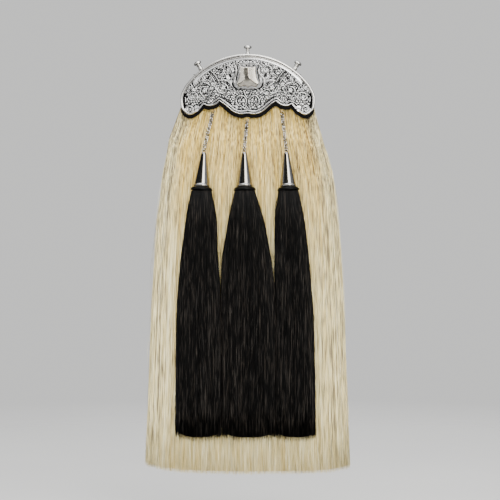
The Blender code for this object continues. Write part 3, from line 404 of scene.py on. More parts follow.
# Horsehair: the tone of each strand, streaks along it, and a warmer tone where warmth is 1.
def hairMaterial(name, stops, warmStops, roughness, sheen, contrast):
    made, tree, shader = newMaterial(name)
    place = addNode(tree, "ShaderNodeTexCoord").outputs["Object"]
    tone = addNode(tree, "ShaderNodeAttribute", {"attribute_name": "tone"}).outputs["Fac"]
    warmth = addNode(tree, "ShaderNodeAttribute", {"attribute_name": "warmth"}).outputs["Fac"]
    run = useGroup(tree, streaks, Vector=place)
    small = addNode(tree, "ShaderNodeMapRange", Value=run.outputs["Streak"], **{
        "From Min": 0.3, "From Max": 0.7, "To Min": -contrast, "To Max": contrast}).outputs[0]
    large = addNode(tree, "ShaderNodeMapRange", Value=run.outputs["Lock"], **{
        "From Min": 0.3, "From Max": 0.7, "To Min": -0.07, "To Max": 0.07}).outputs[0]
    summed = addNode(tree, "ShaderNodeMath", {"operation": "ADD"}, i0=tone, i1=small).outputs[0]
    summed = addNode(tree, "ShaderNodeMath", {"operation": "ADD", "use_clamp": True}, i0=summed,
                     i1=large).outputs[0]
    plain, warm = ramp(tree, summed, stops), ramp(tree, summed, warmStops)
    mixed = addNode(tree, "ShaderNodeMix", {"data_type": "RGBA"}, i0=warmth, i6=plain, i7=warm)
    tree.links.new(mixed.outputs[2], shader.inputs["Base Color"])
    rough = ramp(tree, run.outputs["Streak"], [(0.2, roughness - 0.08), (0.8, roughness + 0.1)])
    tree.links.new(rough, shader.inputs["Roughness"])
    bump = addNode(tree, "ShaderNodeBump", Strength=0.5, Distance=0.0004, Height=run.outputs["Streak"])
    tree.links.new(bump.outputs[0], shader.inputs["Normal"])
    shader.inputs["Specular IOR Level"].default_value = sheen
    return made


# castSilver's near-black hollows hold oxide and painted shade.
castSilver = silverMaterial("castSilver", (0.98, 0.98, 0.97), (0.004, 0.004, 0.0045), 0.15, True)
rimSilver = silverMaterial("rimSilver", (0.95, 0.925, 0.88), None, 0.24, False)
coneSilver = coneReflectionMaterial("coneSilver")
polishedSilver = silverMaterial("polishedSilver", (0.88, 0.86, 0.82), None, 0.10, False)
# Painted reflection: the shield's warm cream tops and brown hollows stand in for the warm surroundings it
# mirrors.
shieldReflectionSilver = silverMaterial("shieldReflectionSilver", (0.96, 0.90, 0.77), (0.10, 0.085, 0.07), 0.15, True)
chainSteel = chainShadeSpotMaterial("chainSteel")
blackLeather = leatherMaterial("blackLeather", (0.0022, 0.0021, 0.0021), 0.50, 900.0, 0.45)
collarLeather = leatherMaterial("collarLeather", (0.0018, 0.0018, 0.0018), 0.20, 700.0, 0.15)
thread = leatherMaterial("waxedThread", (0.022, 0.020, 0.018), 0.5, 2600.0, 0.8)
whiteHair = hairMaterial("whiteHorsehair", [
    (0.0, (0.12, 0.098, 0.058)), (0.22, (0.42, 0.350, 0.205)), (0.5, (0.79, 0.66, 0.305)),
    (0.75, (0.93, 0.82, 0.435)), (1.0, (0.99, 0.94, 0.66))], [
    (0.0, (0.12, 0.066, 0.017)), (0.3, (0.41, 0.265, 0.070)), (0.6, (0.66, 0.450, 0.085)),
    (1.0, (0.87, 0.655, 0.18))], 0.52, 0.25, 0.34)
blackHair = hairMaterial("blackHorsehair", [
    (0.0, (0.0008, 0.0008, 0.0008)), (0.6, (0.0018, 0.0017, 0.0016)), (1.0, (0.030, 0.027, 0.024))], [
    (0.0, (0.0009, 0.0008, 0.0007)), (0.6, (0.0024, 0.0019, 0.0016)), (1.0, (0.034, 0.026, 0.019))],
    0.50, 0.14, 0.50)

# Shapes shared by the cantle, the leather behind it and the hair

cantle = {
    "half": 0.075, "height": 0.0668, "top": 0.0344, "crownRadius": 0.0867, "dome": 0.006,
    "frontY": -0.0328, "rearY": -0.0312, "skirtRearY": -0.0214,
    "rimWidth": 0.0044, "rimRaise": 0.0019, "rimProud": 0.0003, "skirtWall": 0.0015,
    "stepX": 0.00034, "rows": 180,
}
crownMiddle = cantle["top"] - cantle["crownRadius"]
sideRun = [(0.933, 0.532), (0.984, 0.650), (1.000, 0.770), (0.972, 0.915), (0.865, 1.000), (0.760, 0.950),
           (0.659, 0.825)]
lobeRun = [(0.659, 0.825), (0.590, 0.858), (0.500, 0.845), (0.421, 0.783)]
centreRun = [(0.421, 0.783), (0.345, 0.838), (0.215, 0.958), (0.110, 0.998), (0.000, 0.985)]


# Shares of the cantle's half width and of its height, as x and z in metres.
def fromShares(points):
    points = np.asarray(points, float)
    return np.stack([points[:, 0] * cantle["half"], cantle["top"] - points[:, 1] * cantle["height"]], -1)


edgeSteps = 12                                    # points between two rows of the outline's tables
edgeRuns = (sideRun, lobeRun, centreRun)
sideCurve, lobeCurve, centreCurve = (fromShares(catmull(run, edgeSteps)) for run in edgeRuns)
edgeCurve = np.concatenate([sideCurve, lobeCurve[1:], centreCurve[1:]])
widest = int(np.argmax(edgeCurve[:, 0]))
curlEnd = edgeSteps * 5                           # the rim curls round the corner to this point
upperSide, lowerSide = edgeCurve[:widest + 1], edgeCurve[widest:]


# Height of the cantle's scalloped lower edge.
def lowerEdge(x):
    return np.interp(np.abs(x), lowerSide[::-1, 0], lowerSide[::-1, 1])


# Height of the crown's arc, then of the shoulder beyond it.
def upperEdge(x, inset=0.0):
    x = np.abs(x)
    arc = crownMiddle + np.sqrt(np.maximum((cantle["crownRadius"] - inset) ** 2 - x ** 2, 0))
    side = np.interp(x + inset, upperSide[:, 0], upperSide[:, 1]) - inset / 2
    return np.where(x + inset <= upperSide[0, 0], arc, side)


# How far the cantle bows forward at x: a parabola, most in the middle.
def bow(x):
    return cantle["dome"] * np.maximum(1 - (np.asarray(x) / cantle["half"]) ** 2, 0)


# The crown's arc from the middle to the shoulder.
def crownArc(count):
    angle = np.linspace(0, np.arcsin(upperSide[0, 0] / cantle["crownRadius"]), count)
    radius = cantle["crownRadius"]
    return np.stack([radius * np.sin(angle), crownMiddle + radius * np.cos(angle)], -1)


# Cantle: relief

foliage = {"lift": 0.00125, "ground": -0.00065, "pitch": 0.00280, "seed": 7}
# Scrolls of the right half: pixels right of the middle and down, radius in pixels, start and turn in degrees
scrolls = [
    (24.5, 87.5, 8.6, 170, -560), (43.0, 90.0, 8.4, 30, 540), (55.5, 96.5, 5.6, 210, -480),
    (19.5, 69.5, 5.2, 300, 470), (35.5, 88.0, 3.4, 200, -400), (49.5, 79.5, 5.4, 250, -470),
    (19.0, 92.4, 3.6, 20, 430), (29.0, 66.5, 3.4, 20, 400), (41.0, 71.5, 3.0, 120, -400),
    (58.5, 86.5, 3.2, 90, 420), (13.0, 92.5, 3.0, 250, 400), (46.0, 98.0, 3.0, 100, 400),
]
# Large leaves of the right half: pixels right and down, heading in degrees, length and width in pixels, curl
leaves = [
    (17.5, 82.0, 55, 9.0, 4.6, 0.3), (31.0, 86.5, 40, 7.5, 3.8, -0.3), (45.0, 83.0, 100, 7.5, 3.8, 0.25),
    (52.5, 90.5, 35, 7.0, 3.6, -0.2), (26.0, 76.5, 110, 7.5, 3.8, 0.25), (36.5, 95.0, 160, 6.5, 3.2, 0.2),
    (20.5, 92.5, 200, 6.0, 3.2, -0.2), (56.0, 102.0, 75, 6.0, 3.2, 0.2), (14.5, 74.0, 80, 7.0, 3.4, 0.2),
    (48.0, 74.0, 150, 5.5, 2.8, 0.2), (9.0, 108.0, 30, 5.0, 2.6, 0.2), (60.5, 93.0, 100, 5.0, 2.6, -0.2),
]
# Plain raised strokes of the right half: pixels right and down, then width and lift in millimetres
strokes = [
    ([(1.7, 104.4), (1.2, 100.4), (3.0, 97.0), (6.3, 95.4), (9.7, 96.6), (11.5, 99.9), (11.0, 103.2),
      (8.6, 105.4)], 1.5, 1.6),
    ([(17.8, 103.6), (21.0, 101.4), (25.6, 99.4), (29.8, 99.8), (33.2, 102.6)], 1.6, 1.6),
    ([(4.1, 90.2), (2.7, 94.0), (0.4, 97.6)], 1.25, 1.5),
    ([(40.2, 72.0), (35.7, 77.0), (31.3, 83.8)], 0.85, 1.2),
    ([(37.0, 70.4), (32.4, 75.2), (28.2, 82.2)], 0.85, 1.2),
    ([(41.0, 100.6), (45.6, 101.6), (49.4, 104.4), (51.6, 108.4)], 1.1, 1.4),
    ([(41.9, 103.6), (41.9, 103.5)], 1.2, 1.2), ([(44.3, 104.2), (44.3, 104.1)], 1.2, 1.2),
    ([(46.5, 105.6), (46.5, 105.5)], 1.2, 1.2),
    ([(33.4, 93.4), (37.8, 94.8), (40.2, 98.2)], 0.9, 1.2), ([(63.2, 96.6), (62.4, 101.0)], 1.5, 1.1),
]
grooves = [([(17.4, 101.0), (21.4, 98.7), (26.0, 97.0), (30.6, 97.2)], 0.9),
           ([(38.6, 71.2), (34.0, 76.0), (29.7, 83.0)], 0.8), ([(0.0, 101.9), (0.0, 103.2)], 1.3),
           ([(46.8, 94.9), (49.6, 93.4)], 0.9), ([(5.2, 98.6), (7.4, 98.4)], 0.8)]


# A lobed leaf: a half round across with a cut midrib; its half width swells and closes along it.
def leafHeight(x, z, base, angle, length, width, curl):
    dx, dz = x - base[0], z - base[1]
    u = (dx * np.cos(angle) + dz * np.sin(angle)) / length
    v = (-dx * np.sin(angle) + dz * np.cos(angle)) / width - curl * u * u
    inside = (u > 0) & (u < 1)
    u = np.clip(u, 0, 1)
    half = 0.5 * np.sin(np.pi * u ** 0.75) ** 0.85 * (1 + 0.26 * np.sin(6 * np.pi * u + 0.6)) + 1e-6
    share = np.abs(v) / half
    body = np.sqrt(np.maximum(1 - share ** 2, 0)) * (0.62 + 0.38 * np.sin(np.pi * u))
    body = body - 0.5 * np.exp(-(v / 0.08) ** 2)
    return np.where(inside & (share < 1), body, -1.0), inside & (share < 1.5)


# A half round bead over the points nearer than halfWidth.
def strokeHeight(distance, halfWidth):
    return np.where(distance < halfWidth, np.sqrt(np.maximum(1 - (distance / halfWidth) ** 2, 0)), -1.0)


# Small leaves packed edge to edge. A point belongs to the leaf that is nearest in that leaf's own
# stretched measure, and sinks as the second nearest comes as near, so a dark line parts them.
def leafMosaic(x, z, centres):
    rng = np.random.default_rng(foliage["seed"])
    pitch = foliage["pitch"]
    bottom = cantle["top"] - cantle["height"]
    columns, rows = np.meshgrid(np.arange(-pitch, cantle["half"] + pitch, pitch),
                                np.arange(bottom - pitch, cantle["top"] + pitch, pitch * 0.87))
    sites = np.stack([columns + (np.arange(len(rows)) % 2)[:, None] * pitch / 2, rows], -1).reshape(-1, 2)
    sites += rng.uniform(-0.34, 0.34, sites.shape) * pitch
    first, second = np.full(x.shape, 9.0), np.full(x.shape, 9.0)
    rib, bump = np.zeros(x.shape), np.zeros(x.shape)
    for site in sites:
        away = site - centres[:, :2]
        near = np.hypot(*away.T) / centres[:, 2]
        best = int(np.argmin(near))
        swirl = np.arctan2(away[best, 1], away[best, 0]) + centres[best, 3] * 1.15
        heading = swirl if near[best] < 1.5 else 2.1 * np.sin(95 * site[0]) + 1.7 * np.cos(110 * site[1])
        heading += rng.uniform(-0.45, 0.45)
        spot = np.nonzero((np.abs(x - site[0]) < 2.4 * pitch) & (np.abs(z - site[1]) < 2.4 * pitch))
        dx, dz = x[spot] - site[0], z[spot] - site[1]
        u = dx * np.cos(heading) + dz * np.sin(heading)
        v = -dx * np.sin(heading) + dz * np.cos(heading)
        size = rng.uniform(0.85, 1.2)
        gap = np.hypot(u / (1.45 * size), v / (0.80 * size)) / pitch
        closer = gap < first[spot]
        second[spot] = np.where(closer, first[spot], np.minimum(second[spot], gap))
        rib[spot] = np.where(closer, v, rib[spot])
        bump[spot] = np.where(closer, rng.uniform(0.50, 1.0), bump[spot])
        first[spot] = np.minimum(first[spot], gap)
    edge = 1 - ease(first / second, 0.36, 0.80)
    vein = 0.45 * np.exp(-(rib / 0.00020) ** 2) * (first < 0.40)
    return bump * edge ** 0.8 - vein - 0.52 * (1 - ease(edge, 0, 0.35))


# Height over the plate: packed leaves, then scrolls, rosettes, large leaves and strokes, each in its own
# sunk channel.
def foliageRelief(x, z, blank):
    lift, ground = foliage["lift"], foliage["ground"]
    ax = np.abs(x)
    pixel = photo["pixel"]
    centres = np.array([[*fromPhoto([(s[0], s[1])])[0], s[2] * pixel, np.sign(s[4])] for s in scrolls])
    height = np.maximum(lift * leafMosaic(ax, z, centres), ground)

    def near(point, reach):
        return np.nonzero((np.abs(ax - point[0]) < reach) & (np.abs(z - point[1]) < reach))

    def cut(spot, channel, ridge, top):
        height[spot] = np.where(channel, ground, height[spot])
        height[spot] = np.maximum(height[spot], np.where(ridge > 0, top * ridge, -1))

    for px, py, angle, length, width, curl in leaves:
        base = fromPhoto([(px, py)])[0]
        length, width = length * pixel, width * pixel
        spot = near(base, length * 1.1)
        made, channel = leafHeight(ax[spot], z[spot], base, np.radians(angle), length, width, curl)
        cut(spot, channel, made, 1.3 * lift)
    for (px, py, radius, start, turn), middle in zip(scrolls, centres[:, :2]):
        radius *= pixel
        t = np.linspace(0, 1, 44)
        angle, spread = np.radians(start + turn * t), radius * (1 - 0.76 * t)
        line = middle + np.stack([spread * np.cos(angle), spread * np.sin(angle)], -1)
        spot = near(middle, radius * 1.25)
        gap = distanceTo(line, ax[spot], z[spot])
        half = 0.00050 + 0.035 * radius
        cut(spot, gap < half + 0.00055, strokeHeight(gap, half), 1.25 * lift)
        bloom = 0.24 * radius + 0.0006
        spot = near(middle, bloom * 1.5)
        r = np.hypot(ax[spot] - middle[0], z[spot] - middle[1]) / bloom
        petals = 1 + 0.18 * np.cos(5 * np.arctan2(z[spot] - middle[1], ax[spot] - middle[0]))
        dome = np.sqrt(np.maximum(1 - (r / petals) ** 2, 0))
        flower = np.where(r < petals, dome - 0.6 * np.exp(-(r / 0.3) ** 2), -1)
        cut(spot, r < 1.25, flower, 1.3 * lift)
    for points, width, top in strokes:
        gap = distanceToStroke(points, ax, z)
        half = width * 0.0005
        height = np.where(gap < half + 0.00090, ground, height)
        height = np.maximum(height, np.where(gap < half, top * 0.001 * strokeHeight(gap, half), -1))
    for points, width in grooves:
        gap = distanceToStroke(points, ax, z)
        height = np.where(gap < width * 0.0005, ground - 0.0003, height)
    return np.where(blank, ground, height)


bosses = {"x": 0.0650, "z": -0.0264, "radius": 0.0051, "lift": 0.0018}
# Distances in from the crown: the plain band, its groove and the black slit beside the rim
crownBand = {"fade": 0.0056, "width": 0.0066, "lift": 0.00035, "groove": 0.0068, "slit": 0.0026,
             "slitEnd": 0.0034, "slitWiden": 0.0017}
# Distances in from the lower edge: the bead on it, the groove inside that and the lobe's second bead
footBead = {"width": 0.00160, "at": 0.0007, "half": 0.00082, "lift": 0.0013, "grooveEnd": 0.0023,
            "secondAt": 0.0034, "secondHalf": 0.00085, "secondLift": 0.0015, "field": 0.0052}


# The corner roundel: an outer ring, then a coil that winds in to the middle.
def bossHeight(ax, z):
    r = np.hypot(ax - bosses["x"], z - bosses["z"]) / bosses["radius"]
    turn = np.arctan2(z - bosses["z"], ax - bosses["x"])
    coil = 0.5 + 0.5 * np.cos(2 * np.pi * (r * 2.0) - turn)
    ring = np.exp(-((r - 0.86) / 0.10) ** 2)
    inner = (r < 0.74) * coil ** 1.5
    return r, bosses["lift"] * np.maximum(ring, 0.92 * inner) - 0.0005


# The plate on a grid: columns at fixed x, rows shared out from its lower to its upper edge.
# y is the bowed front less the relief. The corners' columns close up as the outline turns.
def makeCantlePlate():
    half = cantle["half"] - 0.0008
    inner = np.arange(0, half - 0.009, cantle["stepX"])
    outer = half - (half - inner[-1] - cantle["stepX"]) * np.linspace(1, 0, 30) ** 2
    right = np.concatenate([inner, outer])
    columns = np.concatenate([-right[:0:-1], right])
    stretch = cantle["half"] / half
    low = lowerEdge(columns * stretch) + 0.0006 * ease(np.abs(columns), 0.055, 0.066)
    high = np.maximum(upperEdge(columns * stretch) - 0.0010, low + 0.00005)
    share = np.linspace(0, 1, cantle["rows"])
    z = low + (high - low) * share[:, None]
    x = np.broadcast_to(columns, z.shape)
    ax = np.abs(x)
    outline = np.concatenate([crownArc(60), edgeCurve[1:curlEnd + 1]])
    toRim = distanceTo(outline, ax, z)
    toFoot = distanceTo(edgeCurve[curlEnd - 2:], ax, z)
    blank = distanceTo([(0, 0.0150), (0, 0.0040)], ax / 1.05, z) < 0.0085
    height = foliageRelief(x, z, blank)
    ground = foliage["ground"]

    # The edges: plain band under the crown, black slit beside the rim, two beads along the middle lobe
    crownPart = 1 - ease(ax, 0.050, 0.062)
    band = (toRim < crownBand["width"]) & (crownPart > 0.03)
    plain = crownBand["lift"] * crownPart * (1 - ease(toRim, crownBand["fade"], crownBand["width"]))
    plain = plain - 0.0004 * np.exp(-((toRim - crownBand["groove"]) / 0.00025) ** 2)
    height = np.where(band, np.maximum(plain, ground), height)
    sidePart = ease(ax, 0.064, 0.068) * ease(z, -0.0262, -0.0235) * (1 - ease(z, -0.0105, -0.0075))
    slit = (toRim > crownBand["slit"]) & (toRim < crownBand["slitEnd"] + crownBand["slitWiden"] * sidePart)
    height = np.where(toRim < cantle["rimWidth"], np.minimum(height, 0.0001), height)
    height = np.where(slit, -0.0003 - 0.0012 * sidePart, height)
    lobe = 1 - ease(ax, 0.0355, 0.0395)
    height = np.where((toFoot < footBead["field"]) & (lobe > 0.4), ground, height)
    groove = (toFoot >= footBead["width"]) & (toFoot < footBead["grooveEnd"])
    height = np.where(groove, ground - 0.0003, height)
    foot = (toFoot < footBead["width"]) & (toRim > crownBand["slitEnd"])
    bead = footBead["lift"] * strokeHeight(np.abs(toFoot - footBead["at"]), footBead["half"])
    height = np.where(foot, bead, height)
    second = np.abs(toFoot - footBead["secondAt"])
    bead = footBead["secondLift"] * strokeHeight(second, footBead["secondHalf"])
    height = np.where((lobe > 0.4) & (second < footBead["secondHalf"]), bead, height)
    cusp = np.hypot(ax / 0.8, z - fromPhoto([(0, 111.6)])[0, 1])
    height = np.where(cusp < 0.0011, ground, height)
    r, boss = bossHeight(ax, z)
    height = np.where(r < 1.14, ground, height)
    height = np.where(r < 1.0, boss, height)

    # The tone falls from the tops to the hollows: oxide, and painted shade that deepens with depth.
    relief = np.clip((height - ground) / 0.0013, 0, 1)
    # Painted shade: the black slit beside the rim is set to the darkest tone.
    relief = np.where(slit & (sidePart > 0.25), 0.0, relief)
    relief = np.where((toRim < 0.0024) | band & (toRim < 0.0064) & (crownPart > 0.2), 0.72, relief)
    y = cantle["frontY"] - bow(x) - height
    front = np.stack([x, y, z], -1)
    rear = np.stack([x[[0, -1]], (cantle["rearY"] - bow(x))[[0, -1]], z[[0, -1]]], -1)
    rows, width = z.shape
    points = np.concatenate([front.reshape(-1, 3), rear.reshape(-1, 3)])
    c = np.arange(width - 1)
    lowRear, highRear, lastRow = rows * width, rows * width + width, (rows - 1) * width
    under = np.stack([c, c + 1, lowRear + c + 1, lowRear + c], -1)
    over = np.stack([lastRow + c + 1, lastRow + c, highRear + c, highRear + c + 1], -1)
    back = np.stack([lowRear + c, lowRear + c + 1, highRear + c + 1, highRear + c], -1)
    ends = []
    for column, flip in ((0, 1), (width - 1, -1)):       # each end column is a fan of triangles
        ring = np.append(np.arange(rows) * width + column, highRear + column)
        pairs = np.stack([ring[:-1], ring[1:]], -1)[:, ::flip]
        ends.append(np.concatenate([pairs, np.full((len(pairs), 1), lowRear + column)], 1))
    quads = np.concatenate([gridFaces(rows, width), under, over, back])
    points, quads, triangles = outward(points, quads, np.concatenate(ends))
    values = {"relief": np.concatenate([relief.ravel(), np.full(2 * width, 0.3)])}
    plate = meshObject("cantlePlate", points, quads, castSilver, triangles, values=values)
    print("cantle plate:", len(quads), "quads")
    return plate


# The rolled rim and its skirt: one closed section carried over the crown, down the sides and,
# as a bead that narrows, round the lower corners.
def makeCantleRim():
    half = np.concatenate([crownArc(70), edgeCurve[1:curlEnd + 1]])
    right = along(half, 150)
    path = np.concatenate([right[:0:-1] * [-1, 1], right])
    tangent = np.gradient(path, axis=0)
    tangent /= np.linalg.norm(tangent, axis=1)[:, None]
    normal = np.stack([-tangent[:, 1], tangent[:, 0]], -1)      # points away from the plate
    steps = np.concatenate([[0], np.linalg.norm(np.diff(right, axis=0), axis=1).cumsum()])
    turnAt = steps[int(np.argmax(right[:, 0]))]
    past = np.clip((steps - turnAt) / (steps[-1] - turnAt), 0, 1)
    past = np.concatenate([past[:0:-1], past])
    narrow = 1 - 0.50 * ease(past, 0.25, 1.0)
    keep = 1 - ease(past, 0.0, 0.10)
    ax = np.abs(path[:, 0])
    thin = 1 - ease(ax, 0.056, 0.068)                           # the inner bead fades out down the sides
    frontY = cantle["frontY"] - bow(path[:, 0])
    a, b = np.linspace(np.pi, 0, 13), np.linspace(np.pi, 0, 7)
    outer = cantle["rimProud"] - 0.00155 * (1 - np.cos(a))
    inner = cantle["rimProud"] - 0.0032 - thin[:, None] * (0.0003 + 0.00050 * (1 - np.cos(b)))
    outer = np.append(cantle["rimProud"] - 0.00315, outer)
    n = np.concatenate([inner, np.broadcast_to(outer, (len(path), 14))], 1)
    n = np.where(n < 0, n * narrow[:, None], n)
    lift = np.concatenate([0.00085 * np.sin(b)[None] * thin[:, None] - 0.00035 * np.ones((len(path), 7)),
                           np.full((len(path), 1), -0.0004),
                           (cantle["rimRaise"] * np.sin(a) ** 0.72)[None] * (0.55 + 0.45 * narrow[:, None])
                           - 0.0002], 1)
    y = frontY[:, None] - lift
    rearY = cantle["skirtRearY"] * keep + (1 - keep) * (cantle["rearY"] - bow(path[:, 0]))
    wall = cantle["rimProud"] - cantle["skirtWall"]
    tail = np.stack([np.full(len(path), n) for n in (cantle["rimProud"], wall, wall)], -1)
    tailY = np.stack([rearY, rearY, frontY + 0.0008], -1)
    n, y = np.concatenate([n, tail], 1), np.concatenate([y, tailY], 1)
    flat = path[:, None] + n[..., None] * normal[:, None]
    rings = np.stack([flat[..., 0], y, flat[..., 1]], -1)
    points, quads, triangles = outward(*skin(rings))
    return meshObject("cantleRim", points, quads, rimSilver, triangles)


plate, rim = makeCantlePlate(), makeCantleRim()
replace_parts(plate, "cantle")
print("cantle done")

# Badge: a frame of scroll strokes and a polished shield

badge = {
    "half": 0.0178, "top": 0.0256, "height": 0.0311, "seatY": -0.0391, "frameThickness": 0.0012,
    "shieldHalf": 0.0117, "shieldTop": 0.0199, "shieldHeight": 0.0222, "shieldSeatY": -0.0406,
    "shieldThickness": 0.0008,
}
frameShape = [(0.00, 0.00), (0.55, 0.03), (0.80, 0.12), (0.78, 0.30), (0.86, 0.44), (1.04, 0.54),
              (1.10, 0.68), (1.02, 0.84), (0.80, 0.96), (0.50, 1.01), (0.20, 0.98), (0.00, 1.02)]
shieldShape = [(0.00, 0.02), (0.40, 0.015), (0.70, 0.00), (0.71, 0.20), (0.75, 0.40), (0.86, 0.62),
               (1.00, 0.80), (0.94, 0.93), (0.72, 0.99), (0.42, 0.95), (0.18, 0.965), (0.00, 1.04)]
# Strokes of the frame's right half, in pixels right of the middle and down, then width and lift in mm
frameStrokes = [
    ([(13.4, 64.4), (11.6, 67.6), (11.2, 71.4), (12.4, 74.6), (14.6, 76.8)], 1.35, 1.1),
    ([(14.6, 76.8), (16.5, 79.6), (16.7, 83.2), (15.3, 87.0), (12.3, 90.0), (8.8, 91.6), (6.2, 91.0)],
     1.5, 1.1),
    ([(9.4, 64.4), (6.4, 62.6), (3.4, 62.4), (1.4, 63.6)], 1.1, 1.0),
    ([(12.6, 78.2), (13.2, 80.6), (12.9, 83.0)], 1.0, 0.9),
    ([(8.2, 65.4), (8.2, 65.2)], 1.4, 0.9), ([(3.3, 65.6), (3.3, 65.4)], 1.4, 1.0),
    ([(4.8, 60.6), (0.0, 60.2)], 1.1, 0.9),
]
frameGrooves = [
    ([(10.8, 65.6), (9.9, 69.2), (9.9, 73.0), (10.9, 76.4), (11.3, 80.6)], 0.95),
    ([(13.8, 67.6), (13.1, 71.2), (13.8, 75.0)], 0.90),
    ([(15.2, 83.2), (13.9, 86.6), (11.3, 89.0), (8.6, 90.0), (6.6, 88.8)], 1.35),
    ([(5.8, 65.9), (5.8, 65.5)], 1.2), ([(1.2, 65.9), (1.2, 65.5)], 1.2),
    ([(14.9, 79.6), (15.0, 80.8)], 0.8),
]


# The distance from middle to a mirrored outline in each direction.
def outlineRadius(shape, half, top, height, middle, angle):
    curve = catmull(shape, 10)
    right = np.stack([curve[:, 0] * half, top - curve[:, 1] * height], -1)
    whole = np.concatenate([right, right[::-1][1:-1] * [-1, 1]]) - middle
    heading = np.unwrap(np.arctan2(whole[:, 1], whole[:, 0]))
    order = np.argsort(np.mod(heading, 2 * np.pi))
    return np.interp(angle, np.mod(heading, 2 * np.pi)[order], np.hypot(*whole.T)[order], period=2 * np.pi)


# A closed disc on a polar grid: reach is its outline, height gives the y and the relief tone of its front
# (depth, with painted shade and painted reflection), and rear is the y of its flat back.
def discPiece(name, reach, middle, height, rear, material):
    angle = np.linspace(0, 2 * np.pi, reach.size, endpoint=False)
    share = np.linspace(0, 1, 56)[1:, None]
    x = middle[0] + share * reach * np.cos(angle)
    z = middle[1] + share * reach * np.sin(angle)
    y, relief = height(x, z, share * np.ones_like(angle))
    rings = np.stack([x, y, z], -1)
    back = np.stack([x[-1], np.full(x.shape[1], rear), z[-1]], -1)[None]
    rings = np.concatenate([rings, back])
    points, quads, triangles = outward(*skin(rings))
    relief = np.concatenate([relief.ravel(), relief[-1], [relief[0].mean(), relief[-1].mean()]])
    return meshObject(name, points, quads, material, triangles, values={"relief": relief})


# Strokes stand up from a grey ground, with black lines cut beside them. The tone follows the height, so the
# dimples are darker and the strokes brighten toward their crests, and the grooves are painted black: painted
# shade.
def makeBadgeFrame():
    angle = np.linspace(0, 2 * np.pi, 320, endpoint=False)
    middle = np.array([0.0, badge["top"] - badge["height"] / 2])
    reach = outlineRadius(frameShape, badge["half"], badge["top"], badge["height"], middle, angle)

    def height(x, z, share):
        dimples = np.sin(x * 5200 + 900 * z) * np.sin(z * 4600)
        lift = 0.0002 + 0.0002 * dimples - 0.0003 * ease(share, 0.93, 1.0)
        relief = 0.34 + 0.16 * dimples
        for points, width, top in frameStrokes:
            gap = distanceToStroke(points, np.abs(x), z)
            ridge = strokeHeight(gap, width * 0.0005)
            lift = np.maximum(lift, np.where(ridge > 0, top * 0.001 * ridge, -1))
            relief = np.where(ridge > 0, 0.55 + 0.45 * ridge, relief)
        for points, width in frameGrooves:
            # Painted shade: the grooves get the darkest tone.
            cutHere = distanceToStroke(points, np.abs(x), z) < width * 0.0005
            lift, relief = np.where(cutHere, -0.0006, lift), np.where(cutHere, 0.0, relief)
        return badge["seatY"] - badge["frameThickness"] - lift, relief
    return discPiece("badgeFrame", reach, middle, height, badge["seatY"], castSilver)


# A polished shield: two cheeks tip up to the light, a dark valley parts them, and the belly tips down. Its
# tones are painted reflection: bright cheeks and edge, a darker valley, a dark streak on the left cheek and
# a dark line along the cheek's border.
def makeBadgeShield():
    angle = np.linspace(0, 2 * np.pi, 260, endpoint=False)
    middle = np.array([0.0, badge["shieldTop"] - 0.5 * badge["shieldHeight"]])
    reach = outlineRadius(shieldShape, badge["shieldHalf"], badge["shieldTop"], badge["shieldHeight"],
                          middle, angle)

    def height(x, z, share):
        across = x / photo["pixel"]
        down = (fromPhoto([(0, 0)])[0, 1] - z) / photo["pixel"]
        borderRight = np.interp(across, [0.2, 0.5, 1.4, 4.5, 8.5, 11.8],
                                [70.0, 74.5, 77.6, 81.2, 83.8, 84.8])
        borderLeft = np.interp(-across, [2.4, 2.7, 3.6, 6.5, 10.5], [70.0, 76.5, 79.8, 82.8, 84.4])
        right = ease(across, 0.0, 0.5) * ease(borderRight - down, -0.4, 0.4)
        left = ease(-across, 2.2, 2.8) * ease(borderLeft - down, -0.4, 0.4)
        cheek = np.maximum(right, left)
        ax = np.abs(x + 0.0010)
        rise = 0.13 * (z - 0.008) + 0.05 * (ax - 0.004) + 5.0 * (ax - 0.0055) ** 2
        belly = -0.16 * (z - 0.001) + 0.0008
        face = badge["shieldSeatY"] - badge["shieldThickness"] - 0.0006
        y = np.minimum(face + 0.5 * (cheek * rise + (1 - cheek) * belly), badge["shieldSeatY"] - 0.0004)
        # Painted reflection: a dark streak down the left cheek, the valley set dark and lifting toward the
        # foot, and a dark line along the right cheek's border.
        paintedDarkStreak = np.exp(-((across + 3.4) / 1.5) ** 2) * (1 - ease(down, 74.0, 78.5))
        valley = 0.22 + 0.20 * ease(down, 78.0, 82.5)
        line = np.exp(-(np.maximum(np.abs(borderRight - down), 9 * (1 - ease(across, 0, 0.6))) / 0.45) ** 2)
        relief = cheek * (1.0 - 0.80 * paintedDarkStreak) + (1 - cheek) * (valley - 0.22 * line)
        relief = np.where(share > 0.94, 0.9, relief)
        return np.where(share > 0.95, y + 0.0005 * (share - 0.95) / 0.05, y), relief
    return discPiece("badgeShield", reach, middle, height, badge["shieldSeatY"], shieldReflectionSilver)


badgeFrame, badgeShield = makeBadgeFrame(), makeBadgeShield()
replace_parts(badgeFrame, "badge_frame")
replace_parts(badgeShield, "badge_shield")
print("badge done")

# Knobs on the crown

knob = {"lean": np.radians(29), "cap": 0.0043, "height": 0.0106, "foot": 0.0022,
        "stem": 0.0016, "sideStem": 0.0020, "bead": 0.0021, "sideBead": 0.0028}


